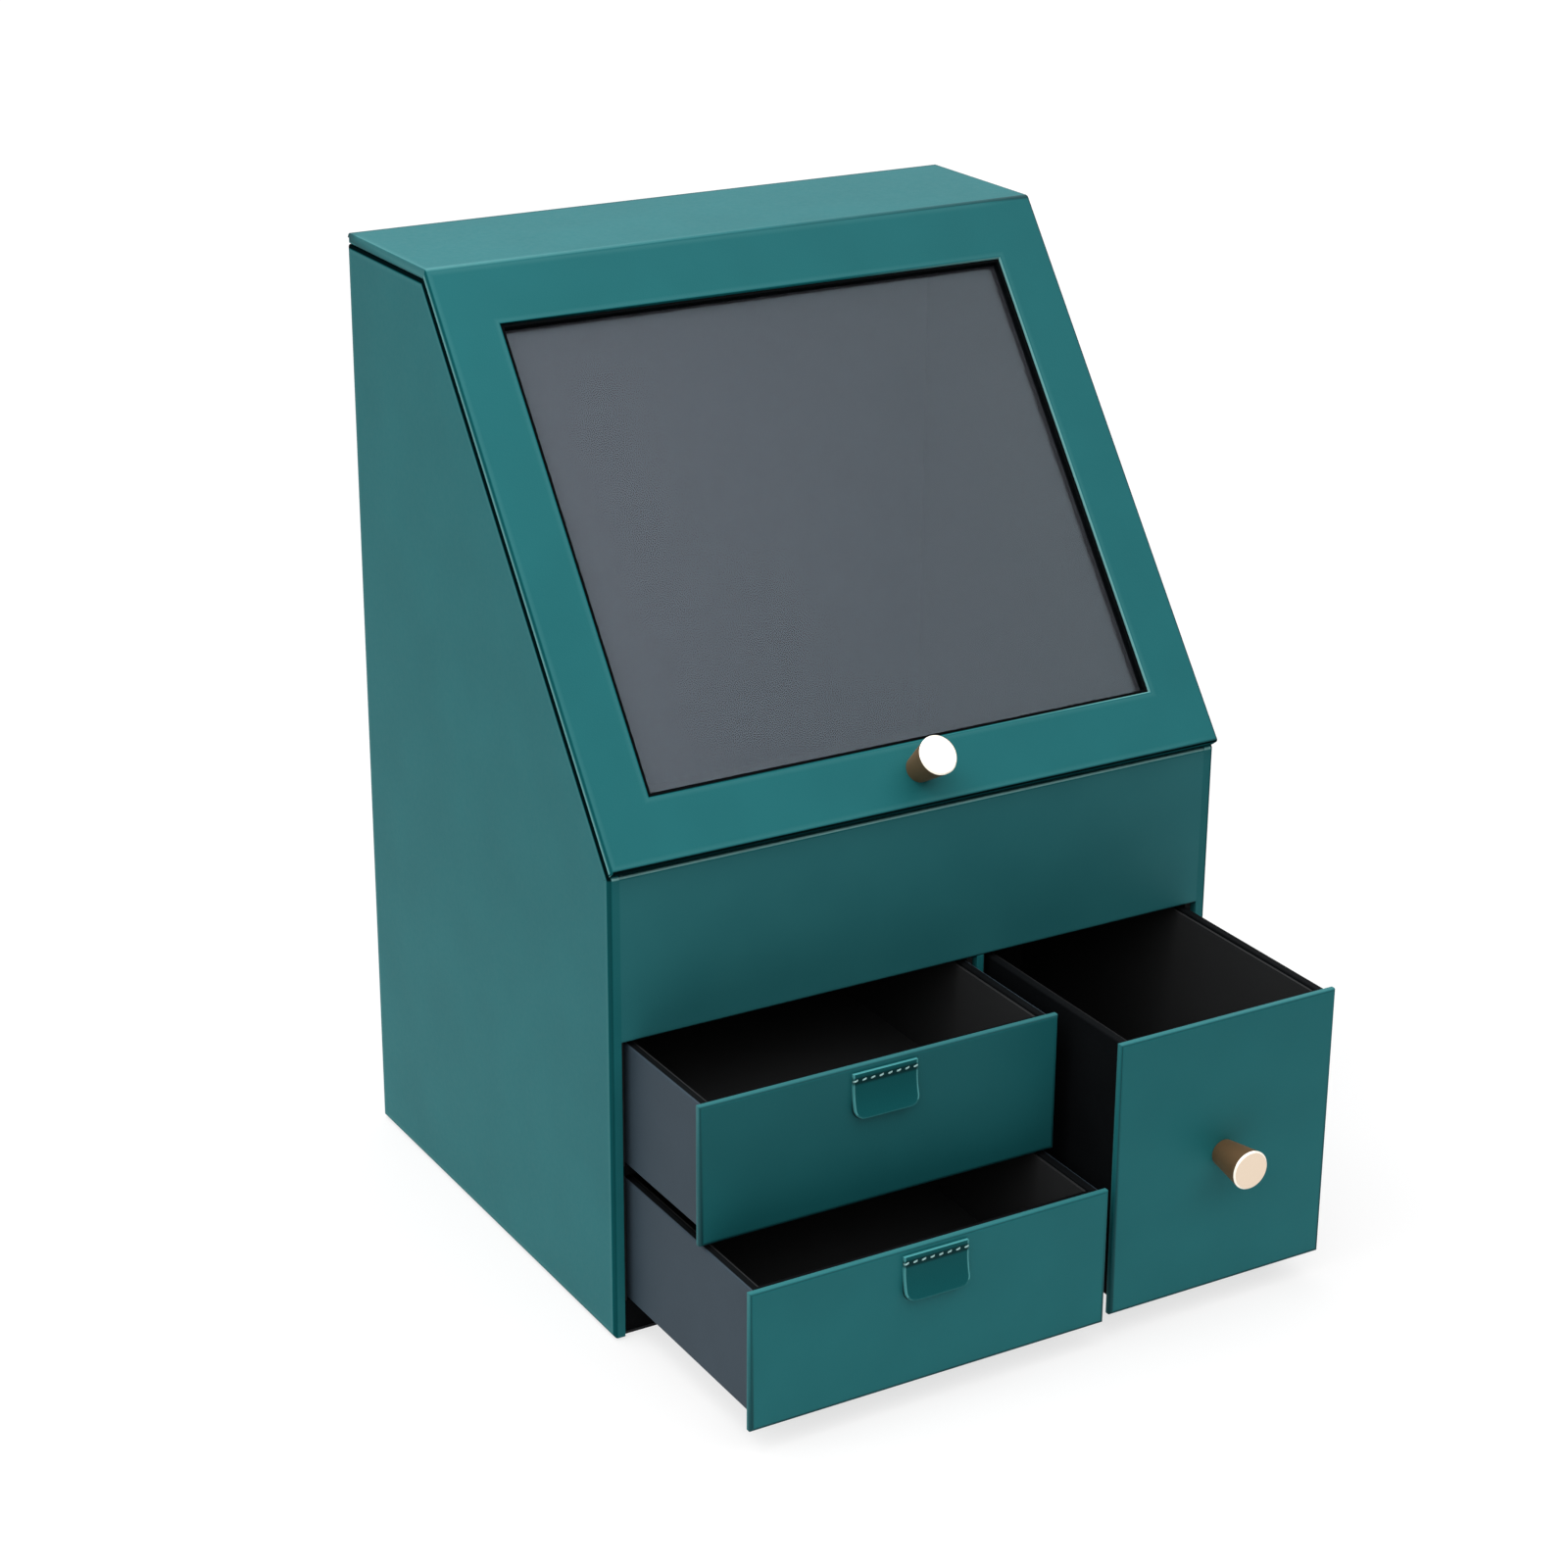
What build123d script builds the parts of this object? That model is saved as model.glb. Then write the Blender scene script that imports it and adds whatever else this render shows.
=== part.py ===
from build123d import *
import os
from math import asin, atan2, cos, degrees, hypot, sin, tan

# Makeup organizer: a slant-front cabinet of thin leather-wrapped boards, with a windowed lid that turns
# about the back top edge, two low drawers stacked at the left and one tall drawer at the right.
# Millimetres, +Z up, the front faces -Y. The origin is the centre of the cabinet's footprint on the floor.

# Cabinet outside
CABINET_WIDTH = 265.0
CABINET_DEPTH = 209.0
CABINET_HEIGHT = 377.0
TOP_DEPTH = 70.0
APRON_TOP = 187.0
OPENING_TOP = 122.0

# Boards of the cabinet
SIDE_BOARD = 4.5
BACK_BOARD = 4.5
APRON_BOARD = 4.5
BASE_BOARD = 13.0
FLOOR_BOARD = 4.0
SHELF_BOARD = 4.0
DIVIDER_BOARD = 3.0
LEFT_BAY_WIDTH = 153.0
EDGE_ROUND = 0.8
SIDE_ROUND = 1.5

# Felt under the base, linings of the compartment and of the drawer bays
BASE_FELT = 1.0
FELT_INSET = 3.0
ROOM_LINING = 1.5
LINING_DROP = 1.0
BAY_LINING = 2.5

# Lid boards, fold and window
LID_BOARD = 4.0
LID_GAP = 0.6
LID_SETBACK = 0.3
LID_FOOT_GAP = 1.0
FOLD_ROUND = 3.0
BACK_ROUND = 2.0
FOOT_ROUND = 1.0
WINDOW_SIDE = 23.0
WINDOW_TOP = 25.0
WINDOW_BOTTOM = 25.0
WINDOW_TRIM = 0.6
TRIM_SETBACK = 0.9
PANE = 1.2
PANE_LAP = 5.0

# Lining frame behind the window and lining card under the lid's top
LID_LINING = 2.4
TOP_LINING = 1.2
PANE_CLEARANCE = 0.3
LID_LINING_GAP = 1.0
LID_LINING_START = 9.0
LID_LINING_END = 4.0
TOP_LINING_END = 3.0

# Leather hinge strip, let flush into the lid's back edge and the back panel
HINGE_LEATHER = 0.8
HINGE_LEAF = 16.0

# Knobs and their screws
KNOB_LENGTH = 17.0
KNOB_BASE_DIAMETER = 10.5
KNOB_FACE_DIAMETER = 15.5
KNOB_CHAMFER = 0.8
LID_KNOB_UP = 14.0
SCREW_DIAMETER = 3.9
SCREW_BITE = 7.0
SCREW_HEAD_DIAMETER = 7.6
SCREW_HEAD = 1.9
SCREW_SLOT = 0.9
SCREW_SLOT_LENGTH = 4.6
SCREW_CLEARANCE = 0.3
THREAD_CLEARANCE = 0.05
HEAD_CLEARANCE = 0.7

# Drawer fronts and trays
FRONT_BOARD = 3.0
FRONT_GAP = 1.0
FRONT_LIP = 5.0
STOP_GAP = 0.4
TRAY_WALL = 3.5
TRAY_FRONT = 2.0
TRAY_BOTTOM = 2.5
TRAY_ROUND = 0.7
TRAY_SIDE_GAP = 0.7
TRAY_RUN_GAP = 0.5
TRAY_HEADROOM = 2.0
TRAY_END_GAP = 3.0
TRAY_LINING = 1.0
TRAY_LINING_DROP = 1.0
TRAY_LINING_ROUND = 2.0

# How far each drawer stands open
UPPER_OPEN = 56.0
LOWER_OPEN = 92.0
TALL_OPEN = 89.0

# Leather pull tabs
TAB_WIDTH = 27.0
TAB_HEIGHT = 17.5
TAB_LEATHER = 1.3
TAB_BELOW_TOP = 2.2
TAB_SEWN = 4.5
TAB_STAND_OFF = 2.6
TAB_CORNER = 4.0

# How far a cut runs past the piece that it cuts
CUT_PAST = 4.0

# Places worked out from the sizes above
FRONT_Y = -CABINET_DEPTH / 2
BACK_Y = CABINET_DEPTH / 2
SIDE_X = CABINET_WIDTH / 2
INNER_X = SIDE_X - SIDE_BOARD
ROOM_X = INNER_X - ROOM_LINING
BACK_INNER_Y = BACK_Y - BACK_BOARD
APRON_INNER_Y = FRONT_Y + APRON_BOARD
ROOM_FRONT_Y = APRON_INNER_Y + ROOM_LINING
ROOM_BACK_Y = BACK_INNER_Y - ROOM_LINING
PANEL_TOP = CABINET_HEIGHT - LID_BOARD - LID_GAP
BASE_TOP = BASE_FELT + BASE_BOARD
FLOOR_TOP = OPENING_TOP + FLOOR_BOARD
ROOM_BOTTOM = FLOOR_TOP + ROOM_LINING
STOP_Y = FRONT_Y + FRONT_BOARD + STOP_GAP
DIVIDER_X = -INNER_X + LEFT_BAY_WIDTH
TALL_BAY_X = DIVIDER_X + DIVIDER_BOARD

# The slope runs from the apron's top corner, and the lid's outer face passes through the fold
FOLD_Y = BACK_Y - TOP_DEPTH
FOLD_RUN = FOLD_Y - FRONT_Y
FOLD_RISE = CABINET_HEIGHT - APRON_TOP
LID_STACK = LID_BOARD + LID_GAP
SLOPE = atan2(FOLD_RISE, FOLD_RUN) - asin(LID_STACK / hypot(FOLD_RUN, FOLD_RISE))

# The two low fronts share the height of the tall one
FRONT_BOTTOM = BASE_TOP + TRAY_RUN_GAP - FRONT_LIP
FRONT_TOP = OPENING_TOP - FRONT_GAP
LOW_FRONT = (FRONT_TOP - FRONT_BOTTOM - FRONT_GAP) / 2
UPPER_BOTTOM = FRONT_TOP - LOW_FRONT
SHELF_TOP = UPPER_BOTTOM + FRONT_LIP - TRAY_RUN_GAP
SHELF_BOTTOM = SHELF_TOP - SHELF_BOARD


def board(x_span, y_span, z_span):
    """A plain board between three pairs of faces."""
    spans = (x_span, y_span, z_span)
    middle = [(low + high) / 2 for low, high in spans]
    return Pos(*middle) * Box(*[high - low for low, high in spans])


def slope_point(along, outward):
    """A point (y, z): along the slope from the apron's top corner, and out from the panel's sloped edge."""
    y = FRONT_Y + along * cos(SLOPE) - outward * sin(SLOPE)
    z = APRON_TOP + along * sin(SLOPE) + outward * cos(SLOPE)
    return y, z


def slope_y(z, outward):
    """Where the line parallel to the panel's sloped edge reaches the height z."""
    start_y, start_z = slope_point(0, outward)
    return start_y + (z - start_z) / tan(SLOPE)


def slope_z(y, outward):
    """The height of the line parallel to the panel's sloped edge at y."""
    start_y, start_z = slope_point(0, outward)
    return start_z + (y - start_y) * tan(SLOPE)


def side_face(points):
    """A face in the side view, from (y, z) points."""
    return make_face(Polyline(*points, close=True))


def across(face, x_low, x_high):
    """A side-view face drawn out across the cabinet, from x_low to x_high."""
    return Pos(x_low, 0, 0) * extrude(Plane.YZ * face, x_high - x_low)


def side_panel(side):
    """Side board with the slanted outline, its outer edges rounded by the wrap. side is -1 or 1."""
    points = [
        (FRONT_Y, BASE_FELT),
        (FRONT_Y, APRON_TOP),
        (slope_y(PANEL_TOP, 0), PANEL_TOP),
        (BACK_Y, PANEL_TOP),
        (BACK_Y, BASE_FELT),
    ]
    panel = across(side_face(points), *sorted((side * INNER_X, side * SIDE_X)))
    outer = panel.faces().sort_by(Axis.X)[-1 if side > 0 else 0]
    return fillet(outer.edges(), SIDE_ROUND)


def side_lining(side):
    """Lining card on the inside of a side panel, a little lower than the panel's edge."""
    top = PANEL_TOP - LINING_DROP
    points = [
        (ROOM_FRONT_Y, ROOM_BOTTOM),
        (ROOM_FRONT_Y, slope_z(ROOM_FRONT_Y, -LINING_DROP)),
        (slope_y(top, -LINING_DROP), top),
        (ROOM_BACK_Y, top),
        (ROOM_BACK_Y, ROOM_BOTTOM),
    ]
    return across(side_face(points), *sorted((side * ROOM_X, side * INNER_X)))


def front_apron():
    """Board above the drawers, flush with the side panels' front edges."""
    apron = board((-INNER_X, INNER_X), (FRONT_Y, APRON_INNER_Y), (OPENING_TOP, APRON_TOP))
    lower_edge = apron.edges().filter_by(Axis.X).group_by(Axis.Z)[0].sort_by(Axis.Y)[0]
    return fillet(lower_edge, EDGE_ROUND / 2)


def back_panel():
    """Back board between the side panels, with a shallow rebate for the hinge leather at its top."""
    panel = board((-INNER_X, INNER_X), (BACK_INNER_Y, BACK_Y), (BASE_FELT, PANEL_TOP))
    return panel - back_leaf()


def back_leaf():
    """The cabinet's half of the leather hinge."""
    return board((-INNER_X, INNER_X), (BACK_Y - HINGE_LEATHER, BACK_Y), (PANEL_TOP - HINGE_LEAF, PANEL_TOP))


def lid_leaf():
    """The lid's half of the leather hinge, on the flat of the lid's back edge."""
    low = PANEL_TOP + LID_GAP
    high = CABINET_HEIGHT - BACK_ROUND
    return board((-INNER_X, INNER_X), (BACK_Y - HINGE_LEATHER, BACK_Y), (low, high))


def drawer_bay():
    """Shelf and divider, whose front edge reaches the cabinet's front plane."""
    low_bay = (-INNER_X, DIVIDER_X)
    divider = board((DIVIDER_X, TALL_BAY_X), (FRONT_Y, BACK_INNER_Y), (BASE_TOP, OPENING_TOP))
    front_edges = divider.faces().sort_by(Axis.Y)[0].edges().filter_by(Axis.Z)
    return {
        "bay_divider": fillet(front_edges, EDGE_ROUND / 2),
        "drawer_shelf": board(low_bay, (STOP_Y, BACK_INNER_Y), (SHELF_BOTTOM, SHELF_TOP)),
    }


def bay_linings():
    """Lining cards on both walls of the three drawer bays. The fronts' back faces stop at their edges."""
    bays = {
        "lower_bay": (-INNER_X, DIVIDER_X, BASE_TOP, SHELF_BOTTOM),
        "upper_bay": (-INNER_X, DIVIDER_X, SHELF_TOP, OPENING_TOP),
        "tall_bay": (TALL_BAY_X, INNER_X, BASE_TOP, OPENING_TOP),
    }
    linings = {}
    for bay, (left, right, low, high) in bays.items():
        depth = (STOP_Y, BACK_INNER_Y)
        linings[bay + "_lining_left"] = board((left, left + BAY_LINING), depth, (low, high))
        linings[bay + "_lining_right"] = board((right - BAY_LINING, right), depth, (low, high))
    return linings


def cabinet():
    """Every board and lining of the still body."""
    inside = (-INNER_X, INNER_X)
    room_depth = (APRON_INNER_Y, BACK_INNER_Y)
    felt_x = SIDE_X - FELT_INSET
    felt_y = BACK_Y - FELT_INSET
    parts = {
        "base_felt": board((-felt_x, felt_x), (-felt_y, felt_y), (0, BASE_FELT)),
        "base_panel": board(inside, (STOP_Y, BACK_INNER_Y), (BASE_FELT, BASE_TOP)),
        "left_side_panel": side_panel(-1),
        "right_side_panel": side_panel(1),
        "back_panel": back_panel(),
        "back_hinge_leaf": back_leaf(),
        "front_apron": front_apron(),
        "compartment_floor": board(inside, room_depth, (OPENING_TOP, FLOOR_TOP)),
        "floor_lining": board(inside, room_depth, (FLOOR_TOP, ROOM_BOTTOM)),
        "front_lining": board(inside, (APRON_INNER_Y, ROOM_FRONT_Y), (ROOM_BOTTOM, APRON_TOP - LINING_DROP)),
        "back_lining": board(inside, (ROOM_BACK_Y, BACK_INNER_Y), (ROOM_BOTTOM, PANEL_TOP - LINING_DROP)),
        "left_lining": side_lining(-1),
        "right_lining": side_lining(1),
    }
    return parts | drawer_bay() | bay_linings()


LID_X = SIDE_X - LID_SETBACK
LID_FOOT = slope_point(LID_FOOT_GAP, LID_STACK)
LID_SLOPE_LENGTH = hypot(FOLD_Y - LID_FOOT[0], CABINET_HEIGHT - LID_FOOT[1])
LID_UNDER = PANEL_TOP + LID_GAP
INNER_FOLD = (slope_y(LID_UNDER, LID_GAP), LID_UNDER)
INNER_SLOPE_LENGTH = hypot(INNER_FOLD[0] - FRONT_Y, INNER_FOLD[1] - APRON_TOP) - LID_FOOT_GAP

# On the lid's outer face: X across, Y up the slope from the lid's lower edge, Z out of the face
lid_face = Plane(
    origin=(0, LID_FOOT[0], LID_FOOT[1]), x_dir=(1, 0, 0), z_dir=(0, -sin(SLOPE), cos(SLOPE))
)
WINDOW_X = LID_X - WINDOW_SIDE
WINDOW_SPAN = (WINDOW_BOTTOM, LID_SLOPE_LENGTH - WINDOW_TOP)


def window_block(margin, z_low, z_high):
    """A block the size of the window, grown by margin on all four sides, on the lid's outer face."""
    low, high = WINDOW_SPAN
    half = WINDOW_X + margin
    return lid_face * board((-half, half), (low - margin, high + margin), (z_low, z_high))


def lid_shell():
    """Both boards of the lid in one bent section, with the fold, back edge and lower edge rounded."""
    section = side_face([
        (BACK_Y, CABINET_HEIGHT),
        (FOLD_Y, CABINET_HEIGHT),
        LID_FOOT,
        slope_point(LID_FOOT_GAP, LID_GAP),
        INNER_FOLD,
        (BACK_Y, LID_UNDER),
    ])

    def corner(point):
        return section.vertices().sort_by_distance((point[0], point[1], 0))[0]

    section = fillet(corner((FOLD_Y, CABINET_HEIGHT)), FOLD_ROUND)
    section = fillet(corner((BACK_Y, CABINET_HEIGHT)), BACK_ROUND)
    section = fillet(corner(LID_FOOT), FOOT_ROUND)
    shell = across(section, -LID_X, LID_X)
    ends = shell.faces().filter_by(Axis.X)
    return fillet(ends.edges(), EDGE_ROUND)


def lid_boards():
    """The lid's top board and its sloped window frame, mitred along the fold."""
    shell = lid_shell()
    rise = CABINET_HEIGHT - INNER_FOLD[1]
    run = FOLD_Y - INNER_FOLD[0]
    mitre = Plane(origin=(0, FOLD_Y, CABINET_HEIGHT), z_dir=(0, rise, -run))
    top_board = split(shell, bisect_by=mitre, keep=Keep.TOP) - lid_leaf()
    frame = split(shell, bisect_by=mitre, keep=Keep.BOTTOM)
    frame -= window_block(0, -LID_BOARD - CUT_PAST, CUT_PAST)
    opening = [edge for edge in frame.edges() if on_window_rim(edge)]
    frame = fillet(opening, EDGE_ROUND)
    hole = lid_face * Pos(0, LID_KNOB_UP, 0) * screw_hole(LID_BOARD)
    return top_board, frame - hole


def on_window_rim(edge):
    """Whether an edge is one of the four around the window on the lid's outer face."""
    middle = lid_face.to_local_coords(edge @ 0.5)
    low, high = WINDOW_SPAN
    near = 0.01
    inside = abs(middle.X) < WINDOW_X + near and low - near < middle.Y < high + near
    return abs(middle.Z) < near and inside


def lid_lining_frame():
    """Black frame behind the window. A rebate in it holds the pane, and a hole clears the screw head."""
    half = ROOM_X - LID_LINING_GAP
    span = (LID_LINING_START, INNER_SLOPE_LENGTH - LID_LINING_END)
    back = -LID_BOARD - LID_LINING
    frame = lid_face * board((-half, half), span, (back, -LID_BOARD))
    frame -= window_block(PANE_LAP + PANE_CLEARANCE, -LID_BOARD - PANE, -LID_BOARD)
    frame -= window_block(0, back - CUT_PAST, 0)
    return frame - lid_face * Pos(0, LID_KNOB_UP, 0) * head_hole(LID_BOARD, LID_LINING)


def lid():
    """Every piece of the lid."""
    top_board, frame = lid_boards()
    half = ROOM_X - LID_LINING_GAP
    top_span = (INNER_FOLD[0] + TOP_LINING_END, ROOM_BACK_Y - LID_LINING_GAP)
    trim = window_block(0, -LID_BOARD, -TRIM_SETBACK)
    trim -= window_block(-WINDOW_TRIM, -LID_BOARD - CUT_PAST, CUT_PAST)
    knob_place = lid_face * Pos(0, LID_KNOB_UP, 0)
    return {
        "lid_top_board": top_board,
        "lid_window_frame": frame,
        "window_trim": trim,
        "window_pane": window_block(PANE_LAP, -LID_BOARD - PANE, -LID_BOARD),
        "lid_lining_frame": lid_lining_frame(),
        "lid_top_lining": board((-half, half), top_span, (LID_UNDER - TOP_LINING, LID_UNDER)),
        "lid_hinge_leaf": lid_leaf(),
        "lid_knob": knob_place * knob(),
        "lid_knob_screw": knob_place * screw(LID_BOARD),
    }


def knob():
    """Turned brass knob, wider towards its face, with a chamfered rim and a blind hole for the screw."""
    base = KNOB_BASE_DIAMETER / 2
    face = KNOB_FACE_DIAMETER / 2
    bore = SCREW_DIAMETER / 2 + THREAD_CLEARANCE
    bore_end = SCREW_BITE + SCREW_CLEARANCE
    outline = Polyline(
        (bore, 0),
        (base, 0),
        (face, KNOB_LENGTH - KNOB_CHAMFER),
        (face - KNOB_CHAMFER, KNOB_LENGTH),
        (0, KNOB_LENGTH),
        (0, bore_end),
        (bore, bore_end),
        close=True,
    )
    return revolve(make_face(Plane.XZ * outline), Axis.Z)


def screw(stack):
    """Pan head screw through boards of the given total thickness, into the knob. Z points to the knob."""
    shank_length = stack + SCREW_BITE
    shank = Pos(0, 0, SCREW_BITE - shank_length / 2) * Cylinder(SCREW_DIAMETER / 2, shank_length)
    head = Pos(0, 0, -stack - SCREW_HEAD / 2) * Cylinder(SCREW_HEAD_DIAMETER / 2, SCREW_HEAD)
    head = fillet(head.edges().filter_by(GeomType.CIRCLE).sort_by(Axis.Z)[0], SCREW_HEAD / 2)
    slot = Box(SCREW_SLOT_LENGTH, SCREW_SLOT, SCREW_HEAD)
    recess = slot + Rot(0, 0, 90) * slot
    return shank + head - Pos(0, 0, -stack - SCREW_HEAD) * recess


def screw_hole(stack):
    """What boards of the given total thickness lose where the screw goes through."""
    radius = SCREW_DIAMETER / 2 + SCREW_CLEARANCE
    return Pos(0, 0, -stack / 2) * Cylinder(radius, stack + 2 * CUT_PAST)


def head_hole(stack, lining):
    """What the lining behind those boards loses around the screw's head."""
    radius = SCREW_HEAD_DIAMETER / 2 + HEAD_CLEARANCE
    return Pos(0, 0, -stack - lining / 2) * Cylinder(radius, lining + 2 * CUT_PAST)


def pull_tab(middle_x, face_y, front_top):
    """Leather tab sewn to a drawer front. It stands off the face a little at its lower end."""
    top = front_top - TAB_BELOW_TOP
    bend = TAB_HEIGHT - TAB_SEWN
    radius = (bend**2 + TAB_STAND_OFF**2) / (2 * TAB_STAND_OFF)
    turn = degrees(asin(bend / radius))
    strip = extrude(Plane.YZ * tab_section(radius, turn), TAB_WIDTH / 2, both=True)
    # Twice the tab's height, so that only its lower corners are rounded
    outline = RectangleRounded(TAB_WIDTH, 2 * TAB_HEIGHT, TAB_CORNER)
    cutter = extrude(Plane.XZ * outline, TAB_STAND_OFF + TAB_LEATHER + CUT_PAST, both=True)
    return Pos(middle_x, face_y, top) * (strip & cutter)


def tab_section(radius, turn):
    """Side view of the tab: the sewn flat, then the bend away from the face, ending square."""
    flat_end = (0, -TAB_SEWN)
    centre = Vector(-radius, -TAB_SEWN)
    inner_end = centre + Vector(radius, 0).rotate(Axis.Z, -turn)
    inner_middle = centre + Vector(radius, 0).rotate(Axis.Z, -turn / 2)
    outer_end = centre + Vector(radius - TAB_LEATHER, 0).rotate(Axis.Z, -turn)
    outer_middle = centre + Vector(radius - TAB_LEATHER, 0).rotate(Axis.Z, -turn / 2)
    outline = Line((0, 0), flat_end)
    outline += ThreePointArc(flat_end, inner_middle, inner_end)
    outline += Line(inner_end, outer_end)
    outline += ThreePointArc(outer_end, outer_middle, (-TAB_LEATHER, -TAB_SEWN))
    outline += Line((-TAB_LEATHER, -TAB_SEWN), (-TAB_LEATHER, 0))
    outline += Line((-TAB_LEATHER, 0), (0, 0))
    return make_face(outline)


def rounded_wall(x_span, y_span, z_span, long_axis):
    """A tray wall whose two top edges are softened by its paper wrap."""
    wall = board(x_span, y_span, z_span)
    top_edges = wall.faces().sort_by(Axis.Z)[-1].edges().filter_by(long_axis)
    return fillet(top_edges, TRAY_ROUND)


def drawer(name, bay, z_span, ceiling, opened):
    """Front board, tray and lining of one drawer. bay and z_span bound its front, ceiling its tray."""
    left, right = bay[0] + FRONT_GAP, bay[1] - FRONT_GAP
    face_y = FRONT_Y - opened
    inner_face_y = face_y + FRONT_BOARD
    front = board((left, right), (face_y, inner_face_y), z_span)
    front = fillet(front.faces().sort_by(Axis.Y)[0].edges(), EDGE_ROUND)

    inset = BAY_LINING + TRAY_SIDE_GAP - FRONT_GAP
    out_x = (left + inset, right - inset)
    in_x = (out_x[0] + TRAY_WALL, out_x[1] - TRAY_WALL)
    end_y = inner_face_y + CABINET_DEPTH - BACK_BOARD - FRONT_BOARD - TRAY_END_GAP
    in_y = (inner_face_y + TRAY_FRONT, end_y - TRAY_WALL)
    low = z_span[0] + FRONT_LIP
    high = ceiling - TRAY_HEADROOM
    floor = low + TRAY_BOTTOM
    tray_y = (inner_face_y, end_y)

    lining_top = high - TRAY_LINING_DROP
    outside = board(in_x, in_y, (floor, lining_top))
    outside = fillet(outside.edges().filter_by(Axis.Z), TRAY_LINING_ROUND)
    room_x = (in_x[0] + TRAY_LINING, in_x[1] - TRAY_LINING)
    room_y = (in_y[0] + TRAY_LINING, in_y[1] - TRAY_LINING)
    room = board(room_x, room_y, (floor + TRAY_LINING, high))
    room = fillet(room.edges().filter_by(Axis.Z), TRAY_LINING_ROUND - TRAY_LINING)
    return {
        name + "_front": front,
        name + "_tray_left": rounded_wall((out_x[0], in_x[0]), tray_y, (low, high), Axis.Y),
        name + "_tray_right": rounded_wall((in_x[1], out_x[1]), tray_y, (low, high), Axis.Y),
        name + "_tray_front": board(in_x, (inner_face_y, in_y[0]), (low, high)),
        name + "_tray_back": rounded_wall(in_x, (in_y[1], end_y), (low, high), Axis.X),
        name + "_tray_bottom": board(in_x, in_y, (low, floor)),
        name + "_lining": outside - room,
    }


def low_drawer(name, z_low, ceiling, opened):
    """One of the two low drawers, with its pull tab in the middle of the front's top edge."""
    bay = (-INNER_X, DIVIDER_X)
    z_span = (z_low, z_low + LOW_FRONT)
    parts = drawer(name, bay, z_span, ceiling, opened)
    parts[name + "_pull_tab"] = pull_tab(sum(bay) / 2, FRONT_Y - opened, z_span[1])
    return parts


def tall_drawer():
    """The tall drawer, with a knob in the middle of its front."""
    name = "tall_drawer"
    bay = (TALL_BAY_X, INNER_X)
    parts = drawer(name, bay, (FRONT_BOTTOM, FRONT_TOP), OPENING_TOP, TALL_OPEN)
    middle = (sum(bay) / 2, FRONT_Y - TALL_OPEN, (FRONT_BOTTOM + FRONT_TOP) / 2)
    place = Plane(origin=middle, x_dir=(1, 0, 0), z_dir=(0, -1, 0))
    stack = FRONT_BOARD + TRAY_FRONT
    for board_name in ("_front", "_tray_front"):
        parts[name + board_name] -= place * screw_hole(stack)
    parts[name + "_lining"] -= place * head_hole(stack, TRAY_LINING)
    parts[name + "_knob"] = place * knob()
    parts[name + "_knob_screw"] = place * screw(stack)
    return parts


parts = cabinet() | lid() | tall_drawer()
parts |= low_drawer("upper_drawer", UPPER_BOTTOM, OPENING_TOP, UPPER_OPEN)
parts |= low_drawer("lower_drawer", FRONT_BOTTOM, SHELF_BOTTOM, LOWER_OPEN)

os.makedirs("parts", exist_ok=True)
for node, shape in parts.items():
    export_step(shape, "parts/" + node + ".step")
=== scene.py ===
from math import asin, atan2, cos, hypot, pi, radians, sin, sqrt, tan

import bmesh
import bpy
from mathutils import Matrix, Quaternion, Vector


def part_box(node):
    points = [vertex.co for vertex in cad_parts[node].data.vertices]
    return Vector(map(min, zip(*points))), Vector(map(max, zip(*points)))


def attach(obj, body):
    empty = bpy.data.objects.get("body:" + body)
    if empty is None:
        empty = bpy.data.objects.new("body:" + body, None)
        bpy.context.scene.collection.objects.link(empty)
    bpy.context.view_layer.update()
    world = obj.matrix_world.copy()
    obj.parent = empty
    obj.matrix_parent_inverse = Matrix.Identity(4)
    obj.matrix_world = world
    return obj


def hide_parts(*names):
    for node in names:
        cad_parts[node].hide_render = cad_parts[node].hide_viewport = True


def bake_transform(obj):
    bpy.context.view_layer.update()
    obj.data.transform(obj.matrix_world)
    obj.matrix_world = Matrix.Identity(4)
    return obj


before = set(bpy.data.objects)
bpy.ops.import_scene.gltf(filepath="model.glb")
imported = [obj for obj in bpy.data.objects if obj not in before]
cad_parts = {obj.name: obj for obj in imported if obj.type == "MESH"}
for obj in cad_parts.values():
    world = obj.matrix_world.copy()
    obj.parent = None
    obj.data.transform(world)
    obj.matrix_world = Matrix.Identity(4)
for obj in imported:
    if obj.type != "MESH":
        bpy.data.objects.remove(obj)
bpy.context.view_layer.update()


# Felt under the base
# A sheet of pressed wool felt, glued under the base board so that the box doesn't scratch a table.
# Its fibres lie every way, so it is dull and slightly uneven, with a paler bloom at a low angle.
MM = 0.001
FELT_TUFT = 1.4 * MM


def linear(colour):
    """A hex sRGB colour as linear red, green, blue and alpha."""
    parts = [int(colour[i:i + 2], 16) / 255 for i in (1, 3, 5)]
    return [p / 12.92 if p <= 0.04045 else ((p + 0.055) / 1.055) ** 2.4 for p in parts] + [1.0]


def new_material(name):
    """An empty material and its node tree."""
    made = bpy.data.materials.new(name)
    made.use_nodes = True
    made.node_tree.nodes.clear()
    return made, made.node_tree


def add(tree, kind, inputs=None, **settings):
    """Adds a shader node. settings are its properties, and inputs are values or the sockets that feed it."""
    made = tree.nodes.new("ShaderNode" + kind)
    for name, value in settings.items():
        setattr(made, name, value)
    for name, value in (inputs or {}).items():
        if isinstance(value, bpy.types.NodeSocket):
            tree.links.new(value, made.inputs[name])
        else:
            made.inputs[name].default_value = value
    return made


def dress(material, *names):
    """Gives CAD nodes this material."""
    for name in names:
        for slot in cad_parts[name].material_slots:
            slot.material = material


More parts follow.
